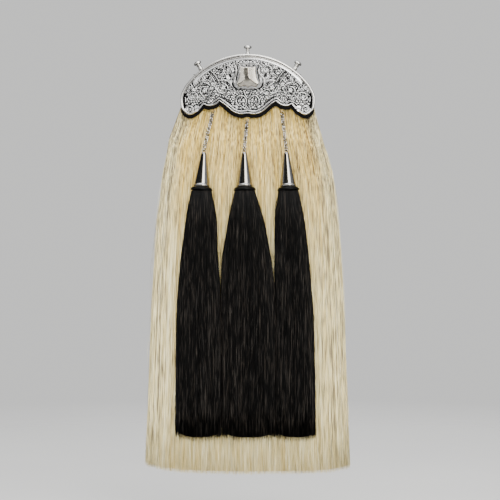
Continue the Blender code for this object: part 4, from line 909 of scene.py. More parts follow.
# A turned knob: foot bead, stem with a bead on it, mushroom cap. It stands where the frame's knob
# stands, and a side knob leans and has the thicker stem.
def makeKnob(name, side):
    low, high = (np.array(c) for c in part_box(f"knob_{name}"))
    middle, tall, cap, foot = (low + high) / 2, knob["height"], knob["cap"], knob["foot"]
    stem, bead = (knob["sideStem"], knob["sideBead"]) if side else (knob["stem"], knob["bead"])
    lean = side * knob["lean"]
    axis = np.array([-np.sin(lean), 0.0, -np.cos(lean)])
    profile = [(0.0004, 0), (0.45 * cap, 0.02 * tall), (0.80 * cap, 0.08 * tall), (0.98 * cap, 0.17 * tall),
               (1.00 * cap, 0.25 * tall), (0.92 * cap, 0.31 * tall), (0.60 * cap, 0.345 * tall),
               (1.05 * stem, 0.37 * tall), (stem, 0.43 * tall), (bead, 0.48 * tall),
               (bead, 0.53 * tall), (stem, 0.58 * tall), (0.96 * stem, 0.68 * tall),
               (1.12 * stem, 0.74 * tall), (foot, 0.80 * tall), (1.15 * foot, 0.87 * tall),
               (1.10 * foot, 0.95 * tall), (0.8 * foot, tall)]
    top = middle - axis * tall / 2
    if side:
        top = middle - axis * tall * 0.5 - np.array([side * 0.0004, 0, -0.0002])
    points, quads, triangles = turned(catmull(profile, 3), 40, top, axis)
    piece = meshObject(f"knob{name.title()}", points, quads, polishedSilver, triangles)
    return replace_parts(piece, f"knob_{name}")


for name, side in (("left", -1), ("centre", 0), ("right", 1)):
    makeKnob(name, side)
print("knobs done")

# White horsehair: the form that the strands lie on

fall = {
    "top": -0.0385, "length": 0.392, "halfWidth": 0.114, "depth": 0.030, "rearY": -0.0211,
    "rearDrift": 0.003, "sag": 0.010, "tuckRise": 0.0245, "tuckRamp": 0.004, "tuck": 0.0046,
    "head": 0.007, "headHalf": 0.0729, "pouchBottom": -0.127, "frontStrands": 3700,
    "rearStrands": 1500, "overStrands": 2500, "looseHairs": 620, "chainHairs": 54, "seed": 11,
    "sway": 0.0028, "swayAt": -0.052, "swayReach": 0.018,
}
fallRows = {
    "drop": [0.00, 0.04, 0.10, 0.20, 0.35, 0.55, 0.80, 1.00],
    "width": [0.672, 0.735, 0.795, 0.848, 0.896, 0.938, 0.966, 1.000],
    "depth": [0.29, 0.50, 0.68, 0.82, 0.91, 0.97, 1.00, 1.00],
    "edge": [0.08, 0.14, 0.20, 0.25, 0.28, 0.30, 0.32, 0.32],
}
waist = upperSide[-1, 1]
# Each tassel: its cone, its collar and half its foot's width, as shares of the fall's half width
tassels = {"left": (-0.423, -0.446, 0.225), "centre": (-0.032, -0.028, 0.253),
           "right": (0.372, 0.392, 0.198)}


# Half width of the white hair: the cantle's own above the waist, then the table's.
def fallHalf(z):
    drop = (fall["top"] - z) / fall["length"]
    below = fall["halfWidth"] * lookUp(drop, fallRows["drop"], fallRows["width"])
    inset = 0.0021
    crown = np.sqrt(np.maximum((cantle["crownRadius"] - inset) ** 2 - (z - crownMiddle) ** 2, 0))
    above = np.minimum(fall["headHalf"], crown)
    share = np.clip((waist - z) / (waist - fall["top"]), 0, 1)
    between = fall["headHalf"] + share * (fallRows["width"][0] * fall["halfWidth"] - fall["headHalf"])
    return np.where(z < fall["top"], below, np.where(z < waist, between, above))


# The y of the white hair's front: tucked behind the leather, then swelling to its full depth.
def fallFront(x, z):
    half = fallHalf(z)
    share = np.minimum(np.abs(x) / half, 1.0)
    tucked = fall["head"] + bow(x)
    tuck = np.clip((fall["top"] + fall["tuckRise"] - z) / fall["tuckRamp"], 0, 1)
    head = fall["rearY"] - tucked + fall["tuck"] * tuck
    drop = np.clip((fall["top"] - z) / fall["length"], 0, 1)
    depth = fall["depth"] * lookUp(drop, fallRows["drop"], fallRows["depth"])
    edge = fall["depth"] * lookUp(drop, fallRows["drop"], fallRows["edge"])
    swell = fall["rearY"] - edge - (depth - edge) * np.maximum(1 - share ** 2.6, 0) ** (1 / 2.6)
    root = fall["rearY"] - tucked + fall["tuck"]
    mix = ease(drop, 0, fallRows["drop"][1])
    return np.where(z >= fall["top"], head, root + (swell - root) * mix)


# The y of the white hair's rear, which drifts back below the pouch.
def fallRear(z):
    drop = np.clip((fall["pouchBottom"] - z) / (fall["pouchBottom"] - fall["top"] + fall["length"]), 0, 1)
    return fall["rearY"] + fall["rearDrift"] * drop


# Where the hair is cut: a shallow arc, lowest in the middle.
def footHeight(x):
    share = np.clip(np.abs(x) / fall["halfWidth"], 0, 1)
    rise = np.where(x < 0, 0.34 * share ** 2 + 0.56 * share ** 7, 0.12 * share ** 2 + 0.46 * share ** 8)
    return fall["top"] - fall["length"] + 0.0003 + fall["sag"] * rise


# How much darker the hair is toward its sides: 0 in the middle and 1 at the very edge.
def sideDarkness(share):
    return ease(np.abs(share), 0.62, 0.97)


# The tone and the warmth of each lock across the fall: slow noise and a sharper one over it.
def lockTables():
    rng = np.random.default_rng(fall["seed"] + 9)
    count = 150
    knots = np.arange(0, count + 9, 9)
    slow = np.interp(np.arange(count), knots, rng.normal(0, 0.045, len(knots)))
    tone = 0.60 + slow + rng.normal(0, 0.06, count)
    warmth = np.clip(rng.normal(0.10, 0.22, count), 0, 0.6)
    return tone, warmth


# The mass of hair: rings from the head to the foot, with low ridges where locks part.
def makeFallCore():
    rng = np.random.default_rng(fall["seed"])
    z = np.concatenate([np.linspace(0.0300, -0.018, 8), np.linspace(-0.022, fall["top"], 6)[1:],
                        fall["top"] - fall["length"] * np.linspace(0.01, 1, 60) ** 1.15])
    frontShare, rearShare = np.linspace(-1, 1, 161), np.linspace(1, -1, 41)[1:-1]
    z = z[:, None]
    half = np.minimum(fallHalf(z), fall["halfWidth"] - 0.0012) - 0.0009
    x = half * frontShare
    phase = rng.uniform(0, 6.28, 6)
    waves = zip((23, 37, 61, 89, 131, 173), phase)
    locks = sum(np.sin(frontShare * k + p + 0.9 * np.sin(z * 14 + p)) for k, p in waves)
    lift = 0.00022 * locks * ease(-z, 0.05, 0.12)
    y = fallFront(x, z) + 0.0009 + lift
    rearX = half * rearShare
    rearY = np.broadcast_to(fallRear(z) - 0.0006, rearX.shape)
    y = np.minimum(y, rearY[:, :1] - 0.0008)
    drop = np.clip((fall["top"] - z) / fall["length"], 0, 1)
    low = footHeight(np.concatenate([x, rearX], 1)) + 0.0025
    allZ = z + (low - (fall["top"] - fall["length"])) * ease(drop, 0.93, 1.0)
    rings = np.stack([np.concatenate([x, rearX], 1), np.concatenate([y, rearY], 1), allZ], -1)
    points, quads, triangles = outward(*skin(rings))
    lockTone = lockTables()[0]
    allShare = np.concatenate([frontShare, rearShare])
    tone = np.interp((allShare + 1) * 0.5 * (len(lockTone) - 1), np.arange(len(lockTone)), lockTone) - 0.16
    # Painted shade: the tone follows the lock ridges and is a little darker where the surface sits back in
    # the partings.
    tone = np.broadcast_to(tone, allZ.shape) - 0.05 * np.concatenate([locks, np.zeros_like(rearX)], 1) / 6
    side = 1 - ease(np.abs(np.concatenate([x, rearX], 1)), 0.068, 0.080)
    warmth = side * np.broadcast_to(0.9 * (1 - ease(-z, 0.05, 0.22)), tone.shape) + 0.1
    values = {"tone": np.append(tone.ravel(), [0.3, 0.2]), "warmth": np.append(warmth.ravel(), [0.5, 0.2])}
    return meshObject("whiteHairMass", points, quads, whiteHair, triangles, values=values)


# Many closed three-sided hairs at once. paths is hair by point by axis, all running down.
def strands(name, paths, radii, tone, warmth, material):
    count, steps = paths.shape[:2]
    rng = np.random.default_rng(count)
    turn = rng.uniform(0, 2 * np.pi, (count, 1, 1)) + 2 * np.pi / 3 * np.arange(3)
    ring = np.stack([np.cos(turn), np.sin(turn), 0 * turn], -1)
    points = paths[:, :, None] + radii[:, :, None, None] * ring
    base = (np.arange(count) * steps * 3)[:, None, None]
    i, j = np.arange(steps - 1)[None, :, None] * 3, np.arange(3)[None, None, :]
    k = (j + 1) % 3
    quads = np.stack([base + i + j, base + i + 3 + j, base + i + 3 + k, base + i + k], -1)
    first = base[:, 0] + np.array([[0, 1, 2]])
    last = base[:, 0] + (steps - 1) * 3 + np.array([[2, 1, 0]])
    spread = np.ones((1, steps, 3))
    values = {"tone": tone[..., None] * spread if tone.ndim == 2 else tone[:, None, None] * spread,
              "warmth": warmth[..., None] * np.ones((1, 1, 3))}
    return meshObject(name, points, quads, material, np.concatenate([first, last]), values=values)


# Hairs over the front: each keeps its share of the width as the fall widens, wanders a little,
# and stands off the mass by its own small amount.
def makeFrontStrands():
    rng = np.random.default_rng(fall["seed"] + 1)
    count, steps = fall["frontStrands"], 9
    share = rng.uniform(-1, 1, count)
    share = np.sign(share) * (1 - (1 - np.abs(share)) ** 1.18)
    startX = share * 0.074
    leather = lowerEdge(np.clip(startX, -0.0745, 0.0745)) - 0.004
    start = np.minimum(leather + rng.uniform(0.004, 0.010, count), -0.0165)
    finish = footHeight(share * fall["halfWidth"]) + np.where(
        rng.random(count) < 0.82, rng.normal(0.0002, 0.0010, count), rng.uniform(0.001, 0.022, count))
    t = np.linspace(0, 1, steps) ** 1.12
    z = start[:, None] + (finish - start)[:, None] * t
    lean = 0.010 * rng.normal(size=(count, 1)) * (t - 0.2)
    wave = np.sin(2 * np.pi * (rng.uniform(0.6, 2.2, (count, 1)) * t + rng.random((count, 1))))
    side = np.clip(share[:, None] + lean + 0.0045 * wave * t, -1.0, 1.0)
    stray = rng.random((count, 1)) < 0.035
    stray = stray & (np.abs(share[:, None]) > 0.93)
    side = side + np.where(stray, 0.012 * np.sign(share[:, None]) * t ** 1.5, 0)
    x = side * fallHalf(z)
    off = rng.uniform(0, 0.0011, (count, 1)) * ease(-z, 0.036, 0.09) + 0.0001
    y = fallFront(np.clip(x, -fallHalf(z), fallHalf(z)), z) - off
    taper = np.minimum(1, (1 - t) * 5 + 0.22)
    radius = rng.uniform(0.00014, 0.00024, (count, 1)) * taper
    lockTone, lockWarmth = lockTables()
    at = (share + 1) / 2 * (len(lockTone) - 1)
    tone = np.interp(at, np.arange(len(lockTone)), lockTone) + rng.normal(0, 0.15, count)
    tone = tone - 0.40 * (rng.random(count) < 0.07)
    outer = ease(np.abs(startX), 0.058, 0.068)
    root = 1 - ease(-z, 0.05, 0.23)
    dark = outer[:, None] * root * (rng.random((count, 1)) < 0.38)
    edge = sideDarkness(share)[:, None]
    # The last tenth of each hair is lighter: partly lighter ends, partly painted light that lifts the shade
    # at the foot.
    tone = tone[:, None] + rng.normal(0, 0.10, (count, steps)) + 0.22 * ease(t, 0.90, 1.0)
    tone = tone + 0.07 - 0.24 * edge
    tone = tone + edge * rng.normal(0, 0.22, (count, 1))
    tone = np.clip(tone - 0.45 * dark - 0.06 * root * (1 - outer[:, None]), 0.0, 1)
    lockShare = np.interp(at, np.arange(len(lockTone)), lockWarmth)[:, None]
    warmth = root * rng.uniform(0.55, 1.0, (count, 1)) + lockShare
    warmth = warmth + 0.25 * ease(t, 0.84, 1.0)
    warmth = np.clip(warmth, 0, 1) * (1 - 0.95 * outer[:, None]) * (rng.random((count, 1)) < 0.93)
    return strands("whiteHairFront", np.stack([x, y, z], -1), radius, tone, warmth, whiteHair)


# Hairs round the sides and over the back, below the pouch and behind it.
def makeRearStrands():
    rng = np.random.default_rng(fall["seed"] + 2)
    count, steps = fall["rearStrands"], 7
    onSide = rng.random(count) < 0.30
    share = np.where(onSide, np.sign(rng.uniform(-1, 1, count)), rng.uniform(-1, 1, count))
    start = np.where(onSide, rng.uniform(-0.040, -0.030, count), rng.uniform(-0.110, -0.060, count))
    finish = footHeight(share * fall["halfWidth"]) + np.abs(rng.normal(0, 0.0012, count))
    t = np.linspace(0, 1, steps)
    z = start[:, None] + (finish - start)[:, None] * t
    half = fallHalf(z)
    across = rng.random((count, 1))
    front, rear = fallFront(half, z), fallRear(z)
    x = np.where(onSide[:, None], share[:, None] * (half + 0.0002), share[:, None] * half)
    proud = rng.uniform(0, 0.0010, (count, 1)) * ease(-z, 0.128, 0.16)
    y = np.where(onSide[:, None], front + (rear - front) * across, rear + proud - 0.0003)
    proudSide = np.sign(share)[:, None] * rng.uniform(0, 0.0008, (count, 1))
    x = x + np.where(onSide[:, None], proudSide, 0) * ease(t, 0, 0.2)
    radius = rng.uniform(0.00018, 0.00030, (count, 1)) * np.minimum(1, (1 - t) * 5 + 0.22)
    tone = np.clip(rng.normal(0.60, 0.17, count), 0.05, 1)
    warmth = 0.5 * (1 - ease(-z, 0.06, 0.25)) * rng.random((count, 1))
    return strands("whiteHairRear", np.stack([x, y, z], -1), radius, tone, warmth, whiteHair)


# Shorter hairs that lie over the rest and end anywhere, loose ones that leave the sides,
# and those that fall over the tops of the chains.
def makeOverHairs():
    rng = np.random.default_rng(fall["seed"] + 3)
    count, steps = fall["overStrands"], 6
    t = np.linspace(0, 1, steps)
    share = rng.uniform(-0.99, 0.99, (count, 1))
    length = rng.uniform(0.035, 0.110, (count, 1))
    start = rng.uniform(-0.400, -0.045, (count, 1))
    z = np.maximum(start - length * t, footHeight(share * fall["halfWidth"]) + 0.0005)
    side = share + rng.normal(0, 0.006, (count, 1)) * (t - 0.5)
    side = side + 0.0015 * np.sin(6.3 * (t + rng.random((count, 1))))
    x = side * fallHalf(z)
    y = fallFront(x, z) - 0.0011 * np.sin(np.pi * np.clip(t, 0.06, 0.94)) * rng.uniform(0.5, 1.0, (count, 1))
    radius = 0.00017 * np.sin(np.pi * np.clip(t, 0.12, 0.90)) * np.ones((count, 1))
    tone = rng.choice([0.30, 0.66, 1.0], (count, 1), p=[0.25, 0.30, 0.45]) - 0.26 * sideDarkness(share)
    tone = np.broadcast_to(tone, z.shape)
    warmth = 0.8 * (1 - ease(-start, 0.05, 0.22)) * (np.abs(share) < 0.86)
    warmth = np.broadcast_to(np.maximum(warmth, 0.35 * (rng.random((count, 1)) < 0.4)), z.shape)
    parts = [(x, y, z, radius, tone, warmth)]

    count = fall["looseHairs"]                                   # loose hairs down both sides
    share = np.sign(rng.uniform(-1, 1, (count, 1))) * rng.uniform(0.955, 1.0, (count, 1))
    start = rng.uniform(-0.340, -0.030, (count, 1))
    z = start - rng.uniform(0.05, 0.16, (count, 1)) * t
    z = np.maximum(z, footHeight(share * fall["halfWidth"]) - 0.002)
    leave = np.abs(rng.normal(0, 0.0016, (count, 1))) * ease(-start, 0.01, 0.08)
    half = fallHalf(z)
    x = np.sign(share) * (np.abs(share) * half + leave * np.sin(0.75 * np.pi * t))
    y = fallFront(np.clip(x, -half, half), z) + rng.uniform(-0.0003, 0.006, (count, 1))
    radius = 0.00012 * np.sin(np.pi * np.clip(t, 0.14, 0.88)) * np.ones((count, 1))
    tone = np.broadcast_to(rng.choice([0.12, 0.50, 1.0], (count, 1), p=[0.30, 0.30, 0.40]), z.shape)
    parts.append((x, y, z, radius, tone, np.zeros(z.shape)))

    for name in tassels:
        spots = nodePoints(f"chain_{name}")
        levels = np.linspace(spots[:, 2].max() - 0.004, spots[:, 2].min() + 0.004, 12)
        middle = np.array([spots[np.abs(spots[:, 2] - level) < 0.003, 0].mean() for level in levels])
        count = fall["chainHairs"]
        top = -0.0325 if name == "centre" else -0.0215
        foot = top - rng.uniform(0.016, 0.026, (count, 1))
        z = top + (foot - top) * t
        off = rng.normal(0, 0.0016, (count, 1))
        x = np.interp(z, levels[::-1], middle[::-1]) + off + 0.3 * off * t
        stand = 0.0046 * (1 - ease(t, 0.62, 1.0)) * np.exp(-(off / 0.0032) ** 2)
        y = fallFront(x, z) - stand - 0.0002
        radius = 0.00020 * np.minimum(1, (1 - t) * 4 + 0.2) * np.ones((count, 1))
        # Painted shade: hairs right over the chain's line are darker, standing in for the crevice the chain
        # sinks into.
        tone = np.clip(rng.normal(0.48, 0.2, (count, 1)) - 0.3 * np.exp(-(off / 0.0008) ** 2), 0, 1)
        tone = tone * np.ones(z.shape)
        parts.append((x, y, z, radius, tone, np.full(z.shape, 0.8)))
    x, y, z, radius, tone, warmth = (np.concatenate(kind) for kind in zip(*parts))
    return strands("whiteHairOver", np.stack([x, y, z], -1), radius, tone, warmth, whiteHair)


# Under the cantle the hair's sides hang a little to the left: x less a bell of the height.
def swayLeft(piece):
    spots = np.empty(len(piece.data.vertices) * 3, np.float32)
    piece.data.vertices.foreach_get("co", spots)
    spots = spots.reshape(-1, 3)
    bell = np.exp(-((spots[:, 2] - fall["swayAt"]) / fall["swayReach"]) ** 2)
    spots[:, 0] -= fall["sway"] * bell * ease(np.abs(spots[:, 0]), 0.035, 0.065)
    piece.data.vertices.foreach_set("co", spots.ravel())
    piece.data.update()


for piece in (makeFallCore(), makeFrontStrands(), makeRearStrands(), makeOverHairs()):
    swayLeft(piece)
    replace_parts(piece, "hair_fall")
print("white hair done")

# Tassels: cones, collars and black hair

tassel = {
    "coneBelow": -0.0757, "coneLength": 0.0382, "coneTop": 0.0028, "coneFoot": 0.0082, "coneLip": 0.0089,
    "lipHeight": 0.0022, "lean": 0.003, "collar": 0.012, "collarHeight": 0.0040, "length": 0.2720,
    "halfDepth": 0.011, "gap": 0.0006, "seat": 0.0003, "eye": 0.0016, "eyeWire": 0.0005,
    "strands": 1150, "overStrands": 1500, "power": 0.85,
}
neckDrop = tassel["coneLength"] + tassel["collarHeight"] + 2 * tassel["seat"]
tasselFoot = tassel["coneBelow"] - neckDrop - tassel["length"]
spreadRows = ([0.00, 0.06, 0.12, 0.20, 0.32, 0.50, 0.75, 1.00],
              [0.00, 0.16, 0.34, 0.50, 0.70, 0.86, 0.96, 1.00])
# How far each tassel's left and right sides stand out from the plain spread, in mm by drop
swellDrops = [0.00, 0.06, 0.15, 0.26, 0.36, 0.50, 0.75, 1.00]
swell = {
    "left": ([0.0, 0.3, -0.6, 0.0, 0.0, 0.0, -0.6, -0.6], [0.0, 1.4, 1.2, -0.7, 0.0, 0.6, 0.0, -0.4]),
    "centre": ([0.0, 1.7, 2.0, 4.6, 4.6, 3.2, 0.8, -0.4], [0.0, 2.1, 2.3, 3.2, 3.6, 3.0, 1.2, 0.0]),
    "right": ([0.0, 2.1, 1.9, 1.6, 1.6, 1.4, 0.6, 0.0], [0.0, 0.0, -0.7, -1.3, -2.2, -2.2, -1.8, -1.5]),
}
# How far each lower corner is cut up, left and right
cornerCut = {"left": (0.0058, 0.0042), "centre": (0.0044, 0.0044), "right": (0.0044, 0.0042)}
footMiddle = 0.010 * fall["halfWidth"]
footX = {
    "left": footMiddle - (tassels["centre"][2] + tassels["left"][2]) * fall["halfWidth"] - tassel["gap"],
    "centre": footMiddle,
    "right": footMiddle + (tassels["centre"][2] + tassels["right"][2]) * fall["halfWidth"] + tassel["gap"],
}


# The top of a tassel's cone and the direction down it.
def hangingAxis(side):
    cone, collar = tassels[side][:2]
    x, z = collar * fall["halfWidth"], tassel["coneBelow"] - neckDrop
    resting = fallFront(np.array(x), np.array(z)) - tassel["collar"] - 4 * tassel["seat"]
    foot = np.array([x, float(resting), z])
    top = np.array([cone * fall["halfWidth"], float(resting) + tassel["lean"], tassel["coneBelow"]])
    return top, (foot - top) / np.linalg.norm(foot - top)


# A polished cone with a rolled lip, hollow below, and the eye that its chain hooks to.
def makeCone(side):
    top, down = hangingAxis(side)
    r0, r1, lip = tassel["coneTop"], tassel["coneFoot"], tassel["coneLip"]
    long, high = tassel["coneLength"], tassel["lipHeight"]
    outer = [(0.0003, 0.0), (0.7 * r0, 0.0002), (0.97 * r0, 0.0008)]
    outer += [(r0 + (r1 - r0) * t, 0.0012 + (long - high - 0.0022) * t) for t in np.linspace(0.04, 1, 12)]
    bead = np.linspace(-0.5 * np.pi, 0.5 * np.pi, 9)
    wide = r1 + 0.0002
    outer += [(wide + (lip - wide) * np.cos(a), long - high / 2 + high / 2 * np.sin(a)) for a in bead]
    inner = [(r1 - 0.0008, long), (r1 - 0.0009, long - 0.002), (r0 - 0.0006, 0.004), (0.0003, 0.0030)]
    cone = turned(outer + inner, 64, top, down)
    a = np.linspace(0, 2 * np.pi, 24, endpoint=False)
    hub = top - down * (tassel["eye"] - 0.0004)
    ring = hub + tassel["eye"] * (np.cos(a)[:, None] * -down + np.sin(a)[:, None] * np.array([1.0, 0, 0]))
    points, quads, triangles = gather([cone, wire(ring, tassel["eyeWire"], 8, closed=True)])
    piece = meshObject(f"cone{side.title()}", points, quads, coneSilver, triangles)
    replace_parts(piece, f"tassel_cone_{side}")


# A glossy black collar with a rounded shoulder and a flat foot.
def makeCollar(side):
    top, down = hangingAxis(side)
    start, tall, wide = tassel["coneLength"] + tassel["seat"], tassel["collarHeight"], tassel["collar"]
    profile = [(0.0003, start), (0.55 * wide, start), (0.80 * wide, start + 0.06 * tall),
               (0.93 * wide, start + 0.26 * tall), (0.995 * wide, start + 0.55 * tall),
               (1.0 * wide, start + 0.80 * tall), (0.975 * wide, start + 0.99 * tall),
               (0.7 * wide, start + tall), (0.0003, start + tall)]
    points, quads, triangles = turned(catmull(profile, 4), 48, top, down)
    piece = meshObject(f"collar{side.title()}", points, quads, collarLeather, triangles)
    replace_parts(piece, f"tassel_collar_{side}")


# A point of the tassel's skin: drop is 0 at the neck and 1 at the foot, turn goes round it.
def tasselSection(side, drop, turn):
    top, down = hangingAxis(side)
    neck = top + down * neckDrop
    narrow = 0.92 * tassel["collar"]
    spread = lookUp(drop, *spreadRows)
    half = narrow + spread * (tassels[side][2] * fall["halfWidth"] - narrow)
    depth = narrow + spread * (tassel["halfDepth"] - narrow)
    x = neck[0] + (footX[side] - neck[0]) * np.minimum(drop / 0.5, 1) ** 0.8
    z = neck[2] + (tasselFoot - neck[2]) * drop
    resting = fallFront(x, z) - depth - 2 * tassel["seat"]
    y = neck[1] + (resting - neck[1]) * np.minimum(drop / 0.12, 1)
    power = tassel["power"]
    cosine, sine = np.cos(turn), np.sin(turn)
    left, right = (0.001 * lookUp(drop, swellDrops, row) for row in swell[side])
    fill = np.where(cosine < 0, -left, right) * np.abs(cosine)
    cut = np.where(cosine < 0, cornerCut[side][0], cornerCut[side][1]) * np.abs(cosine) ** 2.2
    z = z + (cut + 0.0006) * ease(drop, 0.80, 1.0)
    return (x + half * np.sign(cosine) * np.abs(cosine) ** power + fill,
            y + depth * np.sign(sine) * np.abs(sine) ** power, z)


# The tassel's mass and the hairs that hang over it, cut almost level.
def makeTasselHair(side):
    rng = np.random.default_rng({"left": 21, "centre": 22, "right": 23}[side])
    drop = np.linspace(0, 0.995, 40)[:, None]
    turn = (2 * np.pi * np.arange(96) / 96)[None, :]
    x, y, z = tasselSection(side, drop, turn)
    middleX, middleY = x.mean(1, keepdims=True), y.mean(1, keepdims=True)
    shrink = 0.95 - 0.015 * np.sin(turn * 17 + 2 * np.sin(drop * 5)) - 0.012 * np.sin(turn * 31 + 1.3)
    rings = np.stack([middleX + (x - middleX) * shrink, middleY + (y - middleY) * shrink,
                      np.broadcast_to(z, x.shape) + 0.0012 * drop], -1)
    points, quads, triangles = outward(*skin(rings))
    values = {"tone": np.full(len(points), 0.25), "warmth": np.full(len(points), 0.3)}
    mass = meshObject(f"tasselMass{side.title()}", points, quads, blackHair, triangles, values=values)

    count, steps = tassel["strands"], 9
    spot = rng.uniform(0, 2 * np.pi, count)
    spot = np.where(rng.random(count) < 0.45, -np.pi / 2 + rng.uniform(-1.35, 1.35, count), spot)
    t = np.linspace(0, 1, steps)
    finish = np.where(rng.random(count) < 0.85, rng.normal(1.0, 0.006, count), rng.uniform(0.88, 1.0, count))
    finish = np.where(rng.random(count) < 0.012, rng.uniform(1.01, 1.035, count), np.minimum(finish, 1.012))
    drop = finish[:, None] * t
    wander = 0.035 * np.sin(2 * np.pi * (rng.uniform(0.4, 1.4, (count, 1)) * t + rng.random((count, 1)))) * t
    x, y, z = tasselSection(side, np.minimum(drop, 1), spot[:, None] + wander)
    z = z + (tasselFoot - tassel["coneBelow"]) * np.maximum(drop - 1, 0)
    out = rng.uniform(-0.0006, 0.0007, (count, 1)) * ease(t, 0, 0.15)
    x = x + np.cos(spot)[:, None] * out
    y = y + np.sin(spot)[:, None] * out
    radius = rng.uniform(0.00015, 0.00027, (count, 1)) * np.minimum(1, (1 - t) * 5 + 0.25)
    tone = rng.normal(0.30, 0.16, (count, 1)) + rng.normal(0, 0.14, z.shape) + 0.10 * ease(t, 0.2, 0.6)
    warmth = np.broadcast_to(rng.random((count, 1)) * 0.8, z.shape)
    hairs = strands(f"tasselHair{side.title()}", np.stack([x, y, np.broadcast_to(z, x.shape)], -1), radius,
                    np.clip(tone, 0, 1), warmth, blackHair)

    count, steps = tassel["overStrands"], 4                  # short hairs over the front, some loose below
    t = np.linspace(0, 1, steps)
    spot = -np.pi / 2 + rng.uniform(-1.75, 1.75, (count, 1))
    loose = rng.random((count, 1)) < 0.03
    start = np.where(loose, rng.uniform(0.80, 0.93, (count, 1)), rng.uniform(0.03, 0.93, (count, 1)))
    drop = start + rng.uniform(0.02, 0.07, (count, 1)) * t
    drop = np.where(loose, drop, np.minimum(drop, 0.997))
    spots = spot + rng.normal(0, 0.03, (count, 1)) * t
    x, y, z = tasselSection(side, np.minimum(drop, 1), spots)
    z = z + (tasselFoot - tassel["coneBelow"]) * np.maximum(drop - 1, 0)
    x = x + np.where(loose, rng.normal(0, 0.0022, (count, 1)), 0) * t ** 1.5
    stand = 0.0008 * np.sin(np.pi * np.clip(t, 0.05, 0.95)) * rng.uniform(0.5, 1.2, (count, 1))
    y, x = y + np.sin(spot) * stand, x + np.cos(spot) * stand
    radius = 0.00017 * np.sin(np.pi * np.clip(t, 0.14, 0.90)) * np.ones((count, 1))
    tone = np.where(loose, 0.2, rng.uniform(0.5, 1.2, (count, 1)) - 0.25 * (start < 0.25)) * np.ones(z.shape)
    warmth = np.broadcast_to(rng.random((count, 1)), z.shape)
    over = strands(f"tasselOver{side.title()}", np.stack([x, y, np.broadcast_to(z, x.shape)], -1), radius,
                   tone, warmth, blackHair)
    for piece in (mass, hairs, over):
        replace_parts(piece, f"tassel_hair_{side}")


# Chains

chain = {"pitch": 0.0027, "width": 0.0044, "wire": 0.00056, "length": 0.0050, "tilt": np.radians(32)}


# Oval links, each turned the other way from the last, along the middle line of the frame's chain.
def makeChain(side):
    spots = nodePoints(f"chain_{side}")
    high, low = spots[:, 2].max(), spots[:, 2].min()
    levels = np.linspace(high - 0.0024, low + 0.0024, 14)
    reach = 0.0026
    middle = np.stack([spots[np.abs(spots[:, 2] - level) < reach].mean(0) for level in levels])
    middle[:, 2] = levels
    first, last = middle[0] - middle[1], middle[-1] - middle[-2]
    ends = [middle[0] + first / np.linalg.norm(first) * 0.0020,
            middle[-1] + last / np.linalg.norm(last) * 0.0032]
    middle = np.concatenate([ends[:1], middle, ends[1:]])
    path = catmull(middle, 4)
    length = np.linalg.norm(np.diff(path, axis=0), axis=1).sum()
    count = int(round((length - chain["length"]) / chain["pitch"])) + 1
    inset = chain["length"] / 2 - chain["wire"]
    reachAll = along(path, 400)
    at = np.linspace(inset / length, 1 - inset / length, count) * 399
    centre = reachAll[np.round(at).astype(int)]
    tangent = np.gradient(centre, axis=0)
    tangent /= np.linalg.norm(tangent, axis=1)[:, None]
    a = np.linspace(0, 2 * np.pi, 18, endpoint=False)
    parts = []
    for i in range(count):
        turn = chain["tilt"] * (1 if i % 2 else -0.75)
        across = np.cross(tangent[i], [0, 1, 0])
        across /= np.linalg.norm(across)
        normal = np.cross(across, tangent[i])
        tilted = np.cos(turn) * across + np.sin(turn) * normal
        half, wide = chain["length"] / 2 - chain["wire"], chain["width"] / 2 - chain["wire"]
        loop = centre[i] + half * np.cos(a)[:, None] * tangent[i] + wide * np.sin(a)[:, None] * tilted
        parts.append(wire(loop, chain["wire"], 7, closed=True))
    points, quads, triangles = gather(parts)
    piece = meshObject(f"chain{side.title()}", points, quads, chainSteel, triangles)
    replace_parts(piece, f"chain_{side}")


for side in tassels:
    makeCone(side)
    makeCollar(side)
    makeTasselHair(side)
    makeChain(side)
    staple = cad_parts[f"chain_staple_{side}"]
    staple.data.materials.clear()
    staple.data.materials.append(chainSteel)
print("tassels done")

# Leather: the piece behind the cantle, the pouch and the strap loops

leather = {"show": 0.0038, "rearY": -0.0284, "frontY": -0.0309, "round": 0.0010, "inset": 0.0018,
           "reach": 0.0744}


# The leather's lower edge: the silver's outline grown by a disc, so its corners come out round.
def leatherEdge(x):
    edge = along(lowerSide, 500)
    edge = np.concatenate([edge, edge * [-1, 1]])
    reach = leather["show"]
    away = np.clip(1 - ((x[:, None] - edge[:, 0]) / reach) ** 2, 0, 1)
    low = np.where(away > 0, edge[:, 1] - reach * np.sqrt(away), 1.0).min(1)
    corner = np.clip((np.abs(x) - (leather["reach"] - 0.0040)) / 0.0040, 0, 1)
    return low + 0.0040 * (1 - np.sqrt(1 - corner ** 2))


# The leather behind the cantle: columns at fixed x, each a closed section with a rounded foot.
def makeBacking():
    reach = leather["reach"]
    inner, outer = np.arange(0, reach - 0.006, 0.0005), reach - 0.0058 * np.linspace(1, 0, 22) ** 2
    right = np.concatenate([inner, outer])
    x = np.concatenate([-right[:0:-1], right])
    low = leatherEdge(x)
    high = np.maximum(upperEdge(x, leather["inset"]), low + 0.004)
    front, rear = leather["frontY"] - bow(x), leather["rearY"] - bow(x)
    turn = np.linspace(0, np.pi, 9)
    middle, radius = (front + rear) / 2, (rear - front) / 2
    footY = middle[:, None] - radius[:, None] * np.cos(turn)
    footZ = low[:, None] + leather["round"] * (1 - np.sin(turn))
    headY, headZ = np.stack([rear, front], -1), np.stack([high, high], -1)
    y, z = np.concatenate([footY, headY], 1), np.concatenate([footZ, headZ], 1)
    rings = np.stack([np.broadcast_to(x[:, None], y.shape), y, z], -1)
    points, quads, triangles = outward(*skin(rings))
    piece = meshObject("cantleBacking", points, quads, blackLeather, triangles)
    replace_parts(piece, "cantle_backing")


